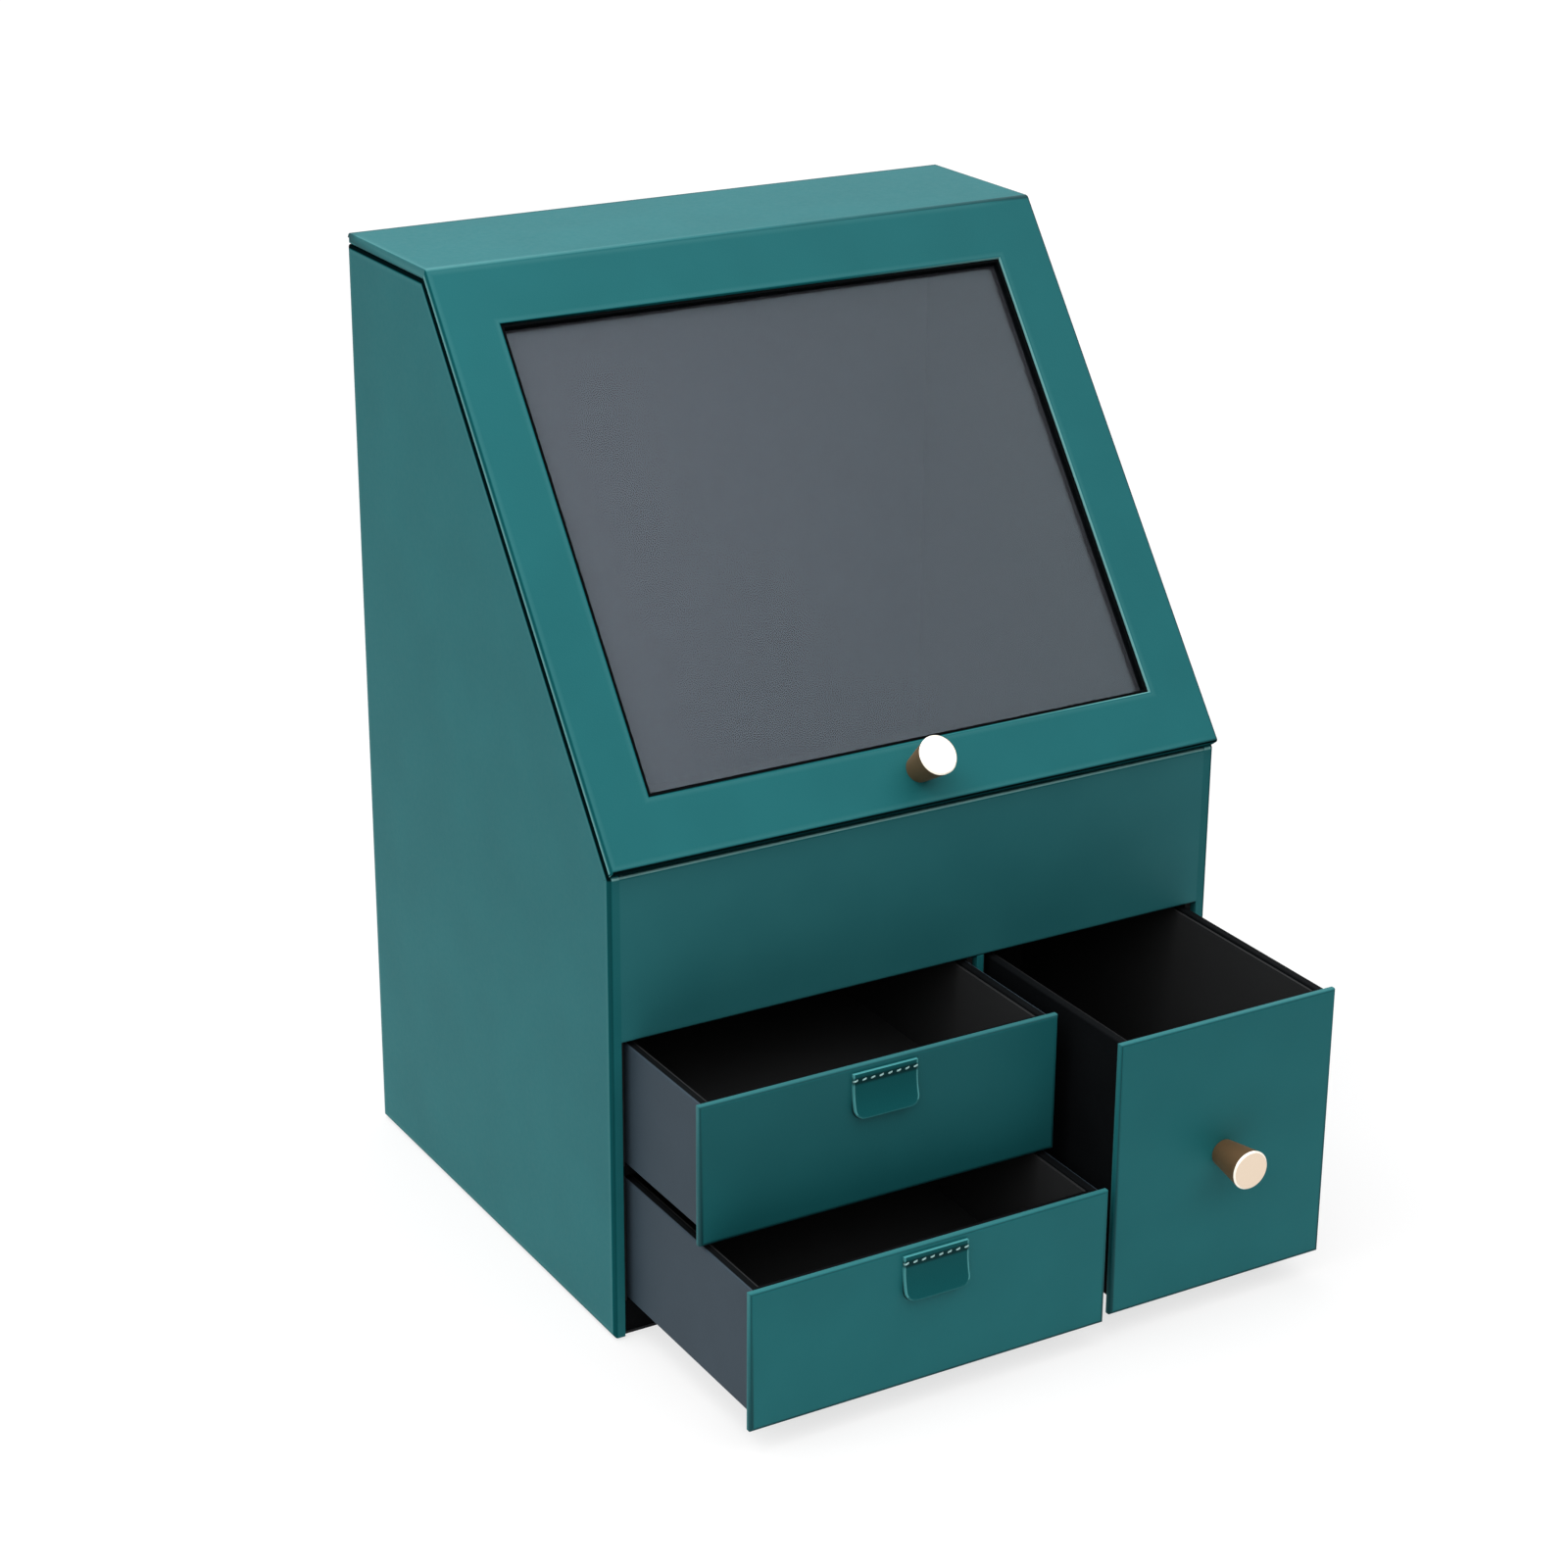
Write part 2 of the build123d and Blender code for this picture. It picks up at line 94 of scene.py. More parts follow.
def fibre_cloth(name, shade, bloom, tuft, depth, sheen):
    """Short fibres that lie every way: a mottled colour, a rough surface and a soft sheen."""
    made, tree = new_material(name)
    place = add(tree, "TexCoord").outputs["Object"]
    tufts = add(tree, "TexNoise", {"Vector": place, "Scale": 1 / tuft, "Detail": 4.0, "Roughness": 0.65})
    patches = add(tree, "TexNoise", {"Vector": place, "Scale": 0.05 / tuft, "Detail": 2.0})
    blend = add(tree, "Math", {0: tufts.outputs["Fac"], 1: patches.outputs["Fac"]},
                operation="MULTIPLY")
    colour = add(tree, "Mix", {"Factor": blend.outputs["Value"], "A": linear(shade), "B": linear(bloom)},
                 data_type="RGBA")
    bump = add(tree, "Bump", {"Height": tufts.outputs["Fac"], "Strength": 0.6, "Distance": depth})
    surface = add(tree, "BsdfPrincipled", {
        "Base Color": colour.outputs["Result"], "Roughness": 0.92, "IOR": 1.45, "Sheen Weight": sheen,
        "Sheen Roughness": 0.5, "Sheen Tint": linear(bloom), "Normal": bump.outputs["Normal"]})
    add(tree, "OutputMaterial", {"Surface": surface.outputs["BSDF"]})
    return made


dress(fibre_cloth("pressed_wool_felt", "#0d0e10", "#2a2c2f", FELT_TUFT, 0.3 * MM, 0.3), "base_felt")


# Base, drawer shelf and compartment floor
# Greyboard covered with black paper, glued between the side panels. They carry the drawers and the
# compartment. The paper is matt, with pressed fibres that a finger just feels.
FIBRE = 0.7 * MM


def wrapping_paper(name, shade, fleck, roughness, shine=0.2):
    """Pulp paper pulled tight over board: fine crossed fibres, nearly matt."""
    made, tree = new_material(name)
    place = add(tree, "TexCoord").outputs["Object"]
    stretched = add(tree, "VectorMath", {0: place, 1: (1.0, 1.0, 0.45)}, operation="MULTIPLY")
    fibres = add(tree, "TexNoise", {"Vector": stretched.outputs["Vector"], "Scale": 1 / FIBRE,
                                    "Detail": 5.0, "Roughness": 0.7, "Distortion": 0.8})
    clouds = add(tree, "TexNoise", {"Vector": place, "Scale": 0.03 / FIBRE, "Detail": 2.0})
    blend = add(tree, "Math", {0: fibres.outputs["Fac"], 1: clouds.outputs["Fac"]},
                operation="MULTIPLY")
    colour = add(tree, "Mix", {"Factor": blend.outputs["Value"], "A": linear(shade), "B": linear(fleck)},
                 data_type="RGBA")
    bump = add(tree, "Bump", {"Height": fibres.outputs["Fac"], "Strength": 0.25, "Distance": 0.05 * MM})
    surface = add(tree, "BsdfPrincipled", {
        "Base Color": colour.outputs["Result"], "Roughness": roughness, "IOR": 1.5,
        "Specular IOR Level": shine, "Normal": bump.outputs["Normal"]})
    add(tree, "OutputMaterial", {"Surface": surface.outputs["BSDF"]})
    return made


black_paper = wrapping_paper("black_pulp_paper", "#060708", "#141618", 0.75, 0.03)
dress(black_paper, "base_panel", "drawer_shelf", "compartment_floor")


# Side panels
# Boards with the slanted outline, each wrapped in polyurethane-coated leather that is turned in over its
# edges. The wrap rounds the outer edges, with painted shade beside a joint and at the front corner, and a
# painted highlight where they look up.
SIDE_ROUND = 1.5 * MM
ROUND_STEPS = 5
NARROW = 6 * MM
# RIM_BAND to BACK_GLOW shape the painted light on the wrapped edges: positive values are painted highlights,
# negative ones painted shade.
RIM_BAND = 0.5 * MM
RIM_FADE = 1.5 * MM
RIM_GLOW = 0.3
PALE_FROM = 0.6
PALE_RISE = 4
SHARP_FROM = radians(35)
CORNER_DARK = -0.5
GAP_DARK = -0.6
CORNER_LINE = 0.9 * MM
BACK_GLOW = -0.35
PEBBLE = 1 * MM
SLOW_WAVE = 28 * MM
TOUCH = 0.05 * MM

# How far a face or a fold looks along an axis: straight, clearly, or just a little. 1 is all the way.
FLAT = 0.99
TURNED = 0.2
LEANING = 0.1


def coated_leather(name, shade, warm, highlight_tint, shade_tint, roughness, shine=0.13, palest=0.3, darkest=0.75):
    """Polyurethane-coated leather: fine pebble grain, a slow unevenness over the board, and a painted
    highlight and painted shade on its folds, from the attribute named rim.
    The real pebbles are about 0.5 mm wide. They are drawn twice as wide, so that they show."""
    made, tree = new_material(name)
    place = add(tree, "TexCoord").outputs["Object"]
    sway = add(tree, "TexNoise", {"Vector": place, "Scale": 0.5 / PEBBLE, "Detail": 1.0})
    pebbles = add(tree, "TexVoronoi", {"Vector": place, "Scale": 1 / PEBBLE, "Randomness": 1.0},
                  feature="DISTANCE_TO_EDGE")
    creases = add(tree, "MapRange", {"Value": pebbles.outputs["Distance"], "From Min": 0.0, "From Max": 0.22},
                  interpolation_type="SMOOTHSTEP")
    slow = add(tree, "TexNoise", {"Vector": place, "Scale": 1 / SLOW_WAVE, "Detail": 2.0, "Roughness": 0.4})
    rim = add(tree, "Attribute", attribute_name="rim").outputs["Fac"]
    tone = add(tree, "Mix", {"Factor": slow.outputs["Fac"], "A": linear(shade), "B": linear(warm)},
               data_type="RGBA")
    # The attribute named rim paints light: positive values mix in the pale colour as a painted highlight,
    # negative ones the dark colour as painted shade.
    highlight_share = add(tree, "MapRange", {"Value": rim, "From Min": 0.0, "From Max": 1.0, "To Max": palest})
    shade_share = add(tree, "MapRange", {"Value": rim, "From Min": 0.0, "From Max": -1.0, "To Max": darkest})
    pale = add(tree, "Mix", {"Factor": highlight_share.outputs["Result"], "A": tone.outputs["Result"],
                             "B": linear(highlight_tint)}, data_type="RGBA")
    colour = add(tree, "Mix", {"Factor": shade_share.outputs["Result"], "A": pale.outputs["Result"],
                               "B": linear(shade_tint)}, data_type="RGBA")
    gloss = add(tree, "MapRange", {"Value": sway.outputs["Fac"], "To Min": roughness - 0.05,
                                   "To Max": roughness + 0.05})
    pull = add(tree, "Bump", {"Height": slow.outputs["Fac"], "Strength": 0.35, "Distance": 0.5 * MM})
    grain = add(tree, "Bump", {"Height": creases.outputs["Result"], "Strength": 0.16,
                               "Distance": 0.06 * MM, "Normal": pull.outputs["Normal"]})
    surface = add(tree, "BsdfPrincipled", {
        "Base Color": colour.outputs["Result"], "Roughness": gloss.outputs["Result"], "IOR": 1.45,
        "Specular IOR Level": shine, "Normal": grain.outputs["Normal"]})
    add(tree, "OutputMaterial", {"Surface": surface.outputs["BSDF"]})
    return made


# The last two colours of each leather are its painted highlight and its painted shade.
teal_leather = coated_leather("teal_coated_leather", "#155b5f", "#1a6367", "#6aa3a3", "#042a2e", 0.55)
# A leather for folds by joints and edges, without gloss: its painted shade goes down to near black, and its
# painted highlight is paler.
painted_light_leather = coated_leather("teal_leather_painted_light", "#155b5f", "#1a6367", "#8fc4c2", "#020f11", 0.7,
                              shine=0.0, palest=0.9, darkest=1.0)


def bridge(bm, one, other, flipped=False):
    """The faces between two closed rings of vertices."""
    faces = []
    for a, b, c, d in zip(one, one[1:] + one[:1], other, other[1:] + other[:1]):
        faces.append(bm.faces.new((b, a, c, d) if flipped else (a, b, d, c)))
    return faces


def ring_edges(bm, ring):
    """The edges of a closed ring of vertices, in its order."""
    return [bm.edges.get(pair) for pair in zip(ring, ring[1:] + ring[:1])]


def board(outline, inward):
    """A board as a bmesh. outline is its outer face, counter-clockwise from outside, and inward its
    thickness. With it come the edges of the outer face and of the inner face, in the outline's order."""
    bm = bmesh.new()
    outer = [bm.verts.new(p) for p in outline]
    inner = [bm.verts.new(Vector(p) + Vector(inward)) for p in outline]
    bm.faces.new(outer)
    bm.faces.new(inner[::-1])
    bridge(bm, outer, inner, flipped=True)
    return bm, ring_edges(bm, outer), ring_edges(bm, inner)


def rounded(bm, edges, radius):
    """Rounds edges of a bmesh with this radius."""
    bmesh.ops.bevel(bm, geom=list(edges), offset=radius, offset_type="OFFSET", segments=ROUND_STEPS,
                    profile=0.5, affect="EDGES", clamp_overlap=True)


def painted_light_from_above(vert):
    """Painted light by the way a fold looks: 1, a painted highlight, on folds that look up, and -1, painted
    shade, on the others.
    """
    return max(-1.0, min(1.0, (vert.normal.z - PALE_FROM) * PALE_RISE))


def mark_rims(bm, rim_of, glow_of):
    """Gives the folds the value named rim, their painted highlight or painted shade. Two bands round each
    wide face carry on a faint band of painted light next to the fold, given by glow_of, and let it fade out."""
    def width(face):
        """How wide a face is, taken as a long strip."""
        return 2 * face.calc_area() / sum(edge.calc_length() for edge in face.edges)

    bm.normal_update()
    rim = bm.verts.layers.float.new("rim")
    for vert in bm.verts:
        vert[rim] = rim_of(vert)
    wide = [face for face in bm.faces if width(face) > NARROW]
    for band, glow in ((RIM_BAND, glow_of), (RIM_FADE, lambda vert: 0.0)):
        bmesh.ops.inset_region(bm, faces=wide, thickness=band, use_boundary=True, use_even_offset=True)
        for vert in {vert for face in wide for vert in face.verts}:
            vert[rim] = glow(vert)


def piece_from(bm, name, materials, body, slot, *stands_for):
    """Makes a smooth-shaded piece of a bmesh, with its flat faces kept flat. It rides on body."""
    for face in bm.faces:
        face.smooth = True
    for edge in bm.edges:
        if len(edge.link_faces) == 2 and edge.calc_face_angle() > SHARP_FROM:
            edge.smooth = False
    mesh = bpy.data.meshes.new(name)
    bm.to_mesh(mesh)
    bm.free()
    for material in materials:
        mesh.materials.append(material)
    piece = bpy.data.objects.new(name, mesh)
    bpy.context.scene.collection.objects.link(piece)
    even = piece.modifiers.new("even_normals", "WEIGHTED_NORMAL")
    even.keep_sharp = True
    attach(piece, body)
    if stands_for:
        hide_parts(*stands_for)


def side_panel(name, turned_out):
    """One side panel. turned_out is -1 at the left and 1 at the right."""
    low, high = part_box(name)
    apron_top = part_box("front_apron")[1].z
    slope = lid_slope()
    slope_end = low.y + (high.z - apron_top) * cos(slope) / sin(slope)
    outer_x = high.x if turned_out > 0 else low.x
    corners = [(low.y, low.z), (low.y, apron_top), (slope_end, high.z), (high.y, high.z), (high.y, low.z)]
    outline = [(outer_x, y, z) for y, z in (corners if turned_out < 0 else corners[::-1])]
    bm, outer, _ = board(outline, (-turned_out * (high.x - low.x), 0, 0))
    rounded(bm, outer, SIDE_ROUND)
    for height in (apron_top - CORNER_LINE, apron_top + CORNER_LINE):
        bm.normal_update()
        edge_faces = [face for face in bm.faces if abs(face.normal.x) < FLAT and face.normal.y < 0]
        geometry = edge_faces + list({e for f in edge_faces for e in f.edges})
        geometry += list({v for f in edge_faces for v in f.verts})
        bmesh.ops.bisect_plane(bm, geom=geometry, plane_co=(0, 0, height), plane_no=(0, 0, 1))
    bm.normal_update()
    # Folds that look up, and front folds at the round or by the apron's corner, take the leather with painted
    # light.
    for face in bm.faces:
        looks_up = face.normal.z > LEANING
        looks_ahead = face.normal.y < -LEANING
        at_corner = abs(face.calc_center_median().z - apron_top) < CORNER_LINE
        at_round = LEANING < abs(face.normal.x) < FLAT
        face.material_index = 1 if looks_up or looks_ahead and (at_round or at_corner) else 0

    def side_fold(vert):
        """Painted shade beside the lid and at the front corner, and a painted highlight where the front edge
        meets the slope.
        """
        inset = abs(vert.co.x - outer_x)
        if inset < TOUCH:
            return 0.0
        if inset < SIDE_ROUND - TOUCH:
            return -1.0 if vert.normal.z > LEANING else CORNER_DARK if vert.normal.y < -LEANING else 0.0
        past = vert.co.z - apron_top
        return 1.0 if abs(past) < TOUCH and vert.normal.y < 0 else GAP_DARK if past > 0 else 0.0

    # A band of painted shade along the back edge, and the faint painted glow elsewhere.
    def dark_at_back(vert):
        return BACK_GLOW if high.y - vert.co.y < 4 * RIM_BAND else RIM_GLOW

    mark_rims(bm, side_fold, dark_at_back)
    piece_from(bm, name + "_wrapped", (teal_leather, painted_light_leather), "cabinet", "teal_leather", name)


TOP_DEPTH = 70 * MM
LID_GAP = 0.6 * MM
LID_FOOT_GAP = 1 * MM


def lid_slope():
    """The angle of the slope, whose outer face passes through the fold of the lid."""
    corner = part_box("front_apron")
    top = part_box("lid_top_board")[1]
    rise = top.z - corner[1].z
    run = top.y - TOP_DEPTH - corner[0].y
    stack = top.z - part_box("lid_top_board")[0].z + LID_GAP
    return atan2(rise, run) - asin(stack / hypot(run, rise))


side_panel("left_side_panel", -1)
side_panel("right_side_panel", 1)


# Front apron
# The board above the drawers, wrapped in a paler copy of the leather as painted light, and flush with the
# side panels' front edges. The wrap rounds its top and lower edges, with a painted highlight along the top
# and painted shade below, and the joints at its ends are pressed tight.
APRON_ROUND = 1 * MM
APRON_END = 0.3
apron_lit_leather = coated_leather("teal_coated_leather_painted_light_apron", "#226267", "#296b6f", "#6aa3a3", "#042a2e", 0.55)


def corners_of(low, high):
    """The corners of a box seen from the front, as (x, z), counter-clockwise from the lower left one."""
    return (low.x, low.z), (high.x, low.z), (high.x, high.z), (low.x, high.z)


def front_apron():
    """The whole apron."""
    low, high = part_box("front_apron")
    outline = [(x, low.y, z) for x, z in corners_of(low, high)]
    bm, (lower, _, upper, _), _ = board(outline, (0, high.y - low.y, 0))
    rounded(bm, (lower, upper), APRON_ROUND)
    bm.normal_update()
    for face in bm.faces:
        face.material_index = 1 if LEANING < face.normal.z < FLAT else 0

    # A painted highlight on the top fold and painted shade on the lower one, and none where the ends meet the
    # side panels.
    def apron_fold(vert):
        if abs(vert.normal.x) > APRON_END and abs(vert.normal.z) < APRON_END:
            return 0.0
        return 1.0 if vert.normal.z > LEANING else painted_light_from_above(vert)

    def not_at_ends(vert):
        return RIM_GLOW if min(vert.co.x - low.x, high.x - vert.co.x) > 2 * RIM_BAND else 0.0

    mark_rims(bm, apron_fold, not_at_ends)
    piece_from(bm, "front_apron_wrapped", (apron_lit_leather, painted_light_leather), "cabinet", "teal_leather",
               "front_apron")


front_apron()


# Back panel and divider
# Both are wrapped boards. The divider stands between the drawers and shows only its front edge.
# Their shape is all straight, so the panels themselves show, in the same leather.
dress(teal_leather, "back_panel", "bay_divider")


# Linings
# Card flocked with short black fibre, glued on every wall of the compartment and of the drawer bays.
# The flock swallows light, and only a low angle brings out its bloom.
FLOCK_TUFT = 0.9 * MM
black_flock = fibre_cloth("black_flock", "#08090a", "#121416", FLOCK_TUFT, 0.04 * MM, 0.02)
dress(black_flock, "floor_lining", "front_lining", "back_lining", "left_lining", "right_lining",
      "lower_bay_lining_left", "lower_bay_lining_right", "upper_bay_lining_left", "upper_bay_lining_right",
      "tall_bay_lining_left", "tall_bay_lining_right")


# Drawer trays
# Five card boards taped into a tray and wrapped in one sheet of charcoal paper, with a flocked lining
# inside. The paper rounds the rim and the back corners, and black paper comes up over the wall tops.
# The tall tray has the black paper all over, as painted shade for the shade between the drawers.
TRAY_RIM_ROUND = 0.7 * MM
charcoal_paper = wrapping_paper("charcoal_wrapping_paper", "#2a363f", "#37444e", 0.7)
DRAWERS = ("upper_drawer", "lower_drawer", "tall_drawer")


def tray(drawer, outside):
    """The tray of one drawer, as one shell wrapped in the paper named outside."""
    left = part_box(drawer + "_tray_left")
    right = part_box(drawer + "_tray_right")
    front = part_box(drawer + "_tray_front")
    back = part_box(drawer + "_tray_back")
    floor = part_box(drawer + "_tray_bottom")[1].z
    x = (left[0].x, left[1].x, right[0].x, right[1].x)
    y = (front[0].y, front[1].y, back[0].y, back[1].y)
    z = (left[0].z, floor, left[1].z)

    def ring(bm, inset, height):
        (x0, x1), (y0, y1) = (x[inset], x[3 - inset]), (y[inset], y[3 - inset])
        return [bm.verts.new((px, py, height)) for px, py in ((x0, y0), (x1, y0), (x1, y1), (x0, y1))]

    bm = bmesh.new()
    rings = [ring(bm, 0, z[0]), ring(bm, 0, z[2]), ring(bm, 1, z[2]), ring(bm, 1, z[1])]
    for lower, upper in zip(rings, rings[1:]):
        bridge(bm, lower, upper)
    bm.faces.new(rings[0][::-1])
    bm.faces.new(rings[3])
    foot, outer, inner = [ring_edges(bm, level)[1:] for level in rings[:3]]
    corners = [bm.edges.get((rings[0][i], rings[1][i])) for i in (2, 3)]
    rounded(bm, outer + inner + corners + foot, TRAY_RIM_ROUND)
    for face in bm.faces:
        middle = face.calc_center_median()
        inward = min(middle.x - x[0], x[3] - middle.x, middle.y - y[0], y[3] - middle.y)
        face.material_index = 1 if inward > TRAY_RIM_ROUND and middle.z > z[0] + MM else 0
    names = [drawer + "_tray_" + wall for wall in ("left", "right", "front", "back", "bottom")]
    piece_from(bm, drawer + "_tray_wrapped", (outside, black_paper), drawer, "tray_card", *names)


# The tall tray's black paper is painted shade.
for drawer, outside in zip(DRAWERS, (charcoal_paper, charcoal_paper, black_paper)):
    tray(drawer, outside)
    dress(black_flock, drawer + "_lining")


# Drawer fronts
# Thin boards wrapped in the teal leather and glued to the trays. They stand a little proud all round. Each
# edge is rounded by the wrap, more at the face than at the back. The upper one has a darker copy of the
# leather, as painted shade where the lower drawer keeps the light from the floor off it.
WRAP_ROUND = 1.1 * MM
BACK_TURN = 0.4 * MM
TURN_GLOW = 0.5


def front_fold(vert):
    """Painted shade on the side and lower folds at the face, a painted highlight on the top one, and a little
    painted glow at the turns at the back.
    """
    if vert.normal.y > TURNED:
        return TURN_GLOW
    up = painted_light_from_above(vert)
    return up if abs(vert.normal.x) > TURNED or vert.normal.z < 0 else max(0.0, up)


def drawer_front(drawer, leather):
    """One drawer's front board."""
    name = drawer + "_front"
    low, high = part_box(name)
    outline = [(x, low.y, z) for x, z in corners_of(low, high)]
    bm, outer, inner = board(outline, (0, high.y - low.y, 0))
    rounded(bm, outer, WRAP_ROUND)
    rounded(bm, inner, BACK_TURN)
    mark_rims(bm, front_fold, lambda vert: 0.0)
    piece_from(bm, name + "_wrapped", (leather,), drawer, "teal_leather", name)


# A darker copy of the leather for the upper front: painted shade.
upper_front_shaded_leather = coated_leather("teal_coated_leather_painted_shade_upper", "#135256", "#175a5e", "#6aa3a3", "#042a2e",
                                0.55)
for drawer, leather in zip(DRAWERS, (upper_front_shaded_leather, teal_leather, teal_leather)):
    drawer_front(drawer, leather)


# Pull tabs
# A strip of the same leather in a darker copy, as painted shade, cut with rounded lower corners and sewn to
# the front near its top. Its raw edges are painted black, and below the seam, where it stands off for a
# finger, a black
# backing fills part of the gap: both are painted shade for the dark gap behind the tab. A lighter leather on
# the rounded edge and a pale line inside it are painted highlights, and a dark band along the seam is painted
# shade.
TAB_SEWN = 4.5 * MM
TAB_LEATHER = 1.3 * MM
TAB_CORNER = 4 * MM
TAB_STAND_OFF = 2.6 * MM
TAB_EDGE_ROUND = 0.35 * MM
TAB_LINE = 0.45 * MM
TAB_LINE_PALE = 0.9
SEAM_DOWN = 2.5 * MM
SEAM_SHADE_HALF = 1.2 * MM
TAB_COLUMNS = 10
TAB_ROWS = 15
BACKING_SHARE = 0.6
MERGE = 0.01 * MM
# The tab's leather is a darker copy, as painted shade, and the rim leather a lighter one, as a painted
# highlight.
tab_leather = coated_leather("teal_tab_leather", "#0b474a", "#0e4d50", "#4f8f8f", "#03191b", 0.6, shine=0.05)
tab_edge_highlight = coated_leather("teal_tab_edge_painted_highlight", "#3f8689", "#478e90", "#6aa3a3", "#052a2c", 0.5)


def tab_line(along, radius):
    """Where the tab's back is at a distance down it, as (out from the front, down), and how it faces."""
    if along <= TAB_SEWN:
        return (0.0, along), (1.0, 0.0)
    angle = (along - TAB_SEWN) / radius
    return (radius * (1 - cos(angle)), TAB_SEWN + radius * sin(angle)), (cos(angle), -sin(angle))


def pull_tab(drawer):
    """One tab, as a grid of columns across it and rows down its straight and its rounded part. Its layers
    are the face, the back and the backing."""
    name = drawer + "_pull_tab"
    low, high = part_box(name)
    face_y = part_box(drawer + "_front")[0].y
    half = (high.x - low.x) / 2
    middle = (high.x + low.x) / 2
    bend = high.z - low.z - TAB_SEWN
    radius = (bend ** 2 + TAB_STAND_OFF ** 2) / (2 * TAB_STAND_OFF)
    straight = TAB_SEWN + radius * asin(bend / radius) - TAB_CORNER
    downs = [straight * i / TAB_ROWS for i in range(TAB_ROWS)]
    downs += [straight + TAB_CORNER * sin(pi / 2 * i / TAB_ROWS) for i in range(TAB_ROWS + 1)]
    bm = bmesh.new()
    layers = []
    for layer in range(3):
        rows = []
        for down in downs:
            past = max(0.0, down - straight)
            reach = half - TAB_CORNER + sqrt(max(0.0, TAB_CORNER ** 2 - past ** 2))
            (off, drop), (face_out, face_down) = tab_line(down, radius)
            # The third layer is the black backing: painted shade that fills part of the gap behind the tab.
            out = (TAB_LEATHER, 0.0, -BACKING_SHARE * off)[layer]
            y = face_y - off - out * face_out
            z = high.z - drop - out * face_down
            inner = reach - 2 * TAB_LINE
            across = [inner * (2 * c / TAB_COLUMNS - 1) for c in range(TAB_COLUMNS + 1)]
            across = [-reach, TAB_LINE - reach] + across + [reach - TAB_LINE, reach]
            rows.append([bm.verts.new((middle + x, y, z)) for x in across])
        layers.append(rows)
    face_rows, _, back_rows = layers
    for rows, step, index in ((face_rows, 1, 0), (back_rows, -1, 2)):
        for upper, lower in zip(rows, rows[1:]):
            for a, b, c, d in zip(upper, lower, lower[1:], upper[1:]):
                bm.faces.new((a, b, c, d)[::step]).material_index = index
    outlines = [rows[0][::-1] + [row[0] for row in rows[1:-1]] + rows[-1] + [row[-1] for row in rows[-2:0:-1]]
                for rows in layers]
    for one, other in zip(outlines, outlines[1:]):
        for face in bridge(bm, one, other, flipped=True):
            face.material_index = 2
    bmesh.ops.delete(bm, geom=[vert for vert in bm.verts if not vert.link_faces], context="VERTS")
    old = set(bm.faces)
    rounded(bm, ring_edges(bm, outlines[0]), TAB_EDGE_ROUND)

    def from_edge(point):
        """How far inside the tab's outline a point is."""
        aside = abs(point.x - middle) - (half - TAB_CORNER)
        below = low.z + TAB_CORNER - point.z
        if aside > 0 and below > 0:
            return TAB_CORNER - hypot(aside, below)
        return min(TAB_CORNER - aside, TAB_CORNER - below, high.z - point.z)

    # The rounded edge takes the lighter leather, a painted highlight; the raw edges and the backing keep the
    # black paper, painted shade.
    for face in bm.faces:
        if face not in old:
            face.material_index = 1 if from_edge(face.calc_center_median()) < TAB_EDGE_ROUND else 0
    bmesh.ops.remove_doubles(bm, verts=bm.verts, dist=MERGE)
    bmesh.ops.recalc_face_normals(bm, faces=bm.faces)
    bm.normal_update()
    # Painted shade along the seam, and a painted highlight along a line just inside the edge.
    rim = bm.verts.layers.float.new("rim")
    for vert in bm.verts:
        line = max(0.0, 1 - abs(from_edge(vert.co) - TAB_LINE) / TAB_LINE)
        vert[rim] = -1.0 if abs(high.z - SEAM_DOWN - vert.co.z) < SEAM_SHADE_HALF else TAB_LINE_PALE * line
    piece_from(bm, name + "_cut", (tab_leather, tab_edge_highlight, black_paper), drawer, "teal_leather", name)


for drawer in DRAWERS[:2]:
    pull_tab(drawer)


# Tab stitches
# Pale polyester thread, twisted from two plies and sewn by machine through tab and front.
# Each stitch is a short arch that dives into the leather at both ends.
STITCHES = 8
STITCH_PITCH = 3.6 * MM
STITCH_LENGTH = 1.9 * MM
THREAD = 0.33 * MM
THREAD_SIDES = 10
ARCH_STEPS = 10
STITCH_LEAN = 0.25 * MM
STITCH_PROUD = 0.35
STITCH_DIVE = 1.6
PLY_PITCH = 1.2 * MM


def sewing_thread():
    """Twisted polyester: a satin gloss along fine slanted plies."""
    made, tree = new_material("polyester_thread")
    place = add(tree, "TexCoord").outputs["Object"]
    plies = add(tree, "TexWave", {"Vector": place, "Scale": 1 / PLY_PITCH, "Distortion": 0.6},
                bands_direction="DIAGONAL")
    colour = add(tree, "Mix", {"Factor": plies.outputs["Fac"], "A": linear("#669897"),
                               "B": linear("#98bab8")}, data_type="RGBA")
    bump = add(tree, "Bump", {"Height": plies.outputs["Fac"], "Strength": 0.5, "Distance": 0.08 * MM})
    surface = add(tree, "BsdfPrincipled", {
        "Base Color": colour.outputs["Result"], "Roughness": 0.5, "IOR": 1.54, "Sheen Weight": 0.2,
        "Normal": bump.outputs["Normal"]})
    add(tree, "OutputMaterial", {"Surface": surface.outputs["BSDF"]})
    return made


polyester_thread = sewing_thread()


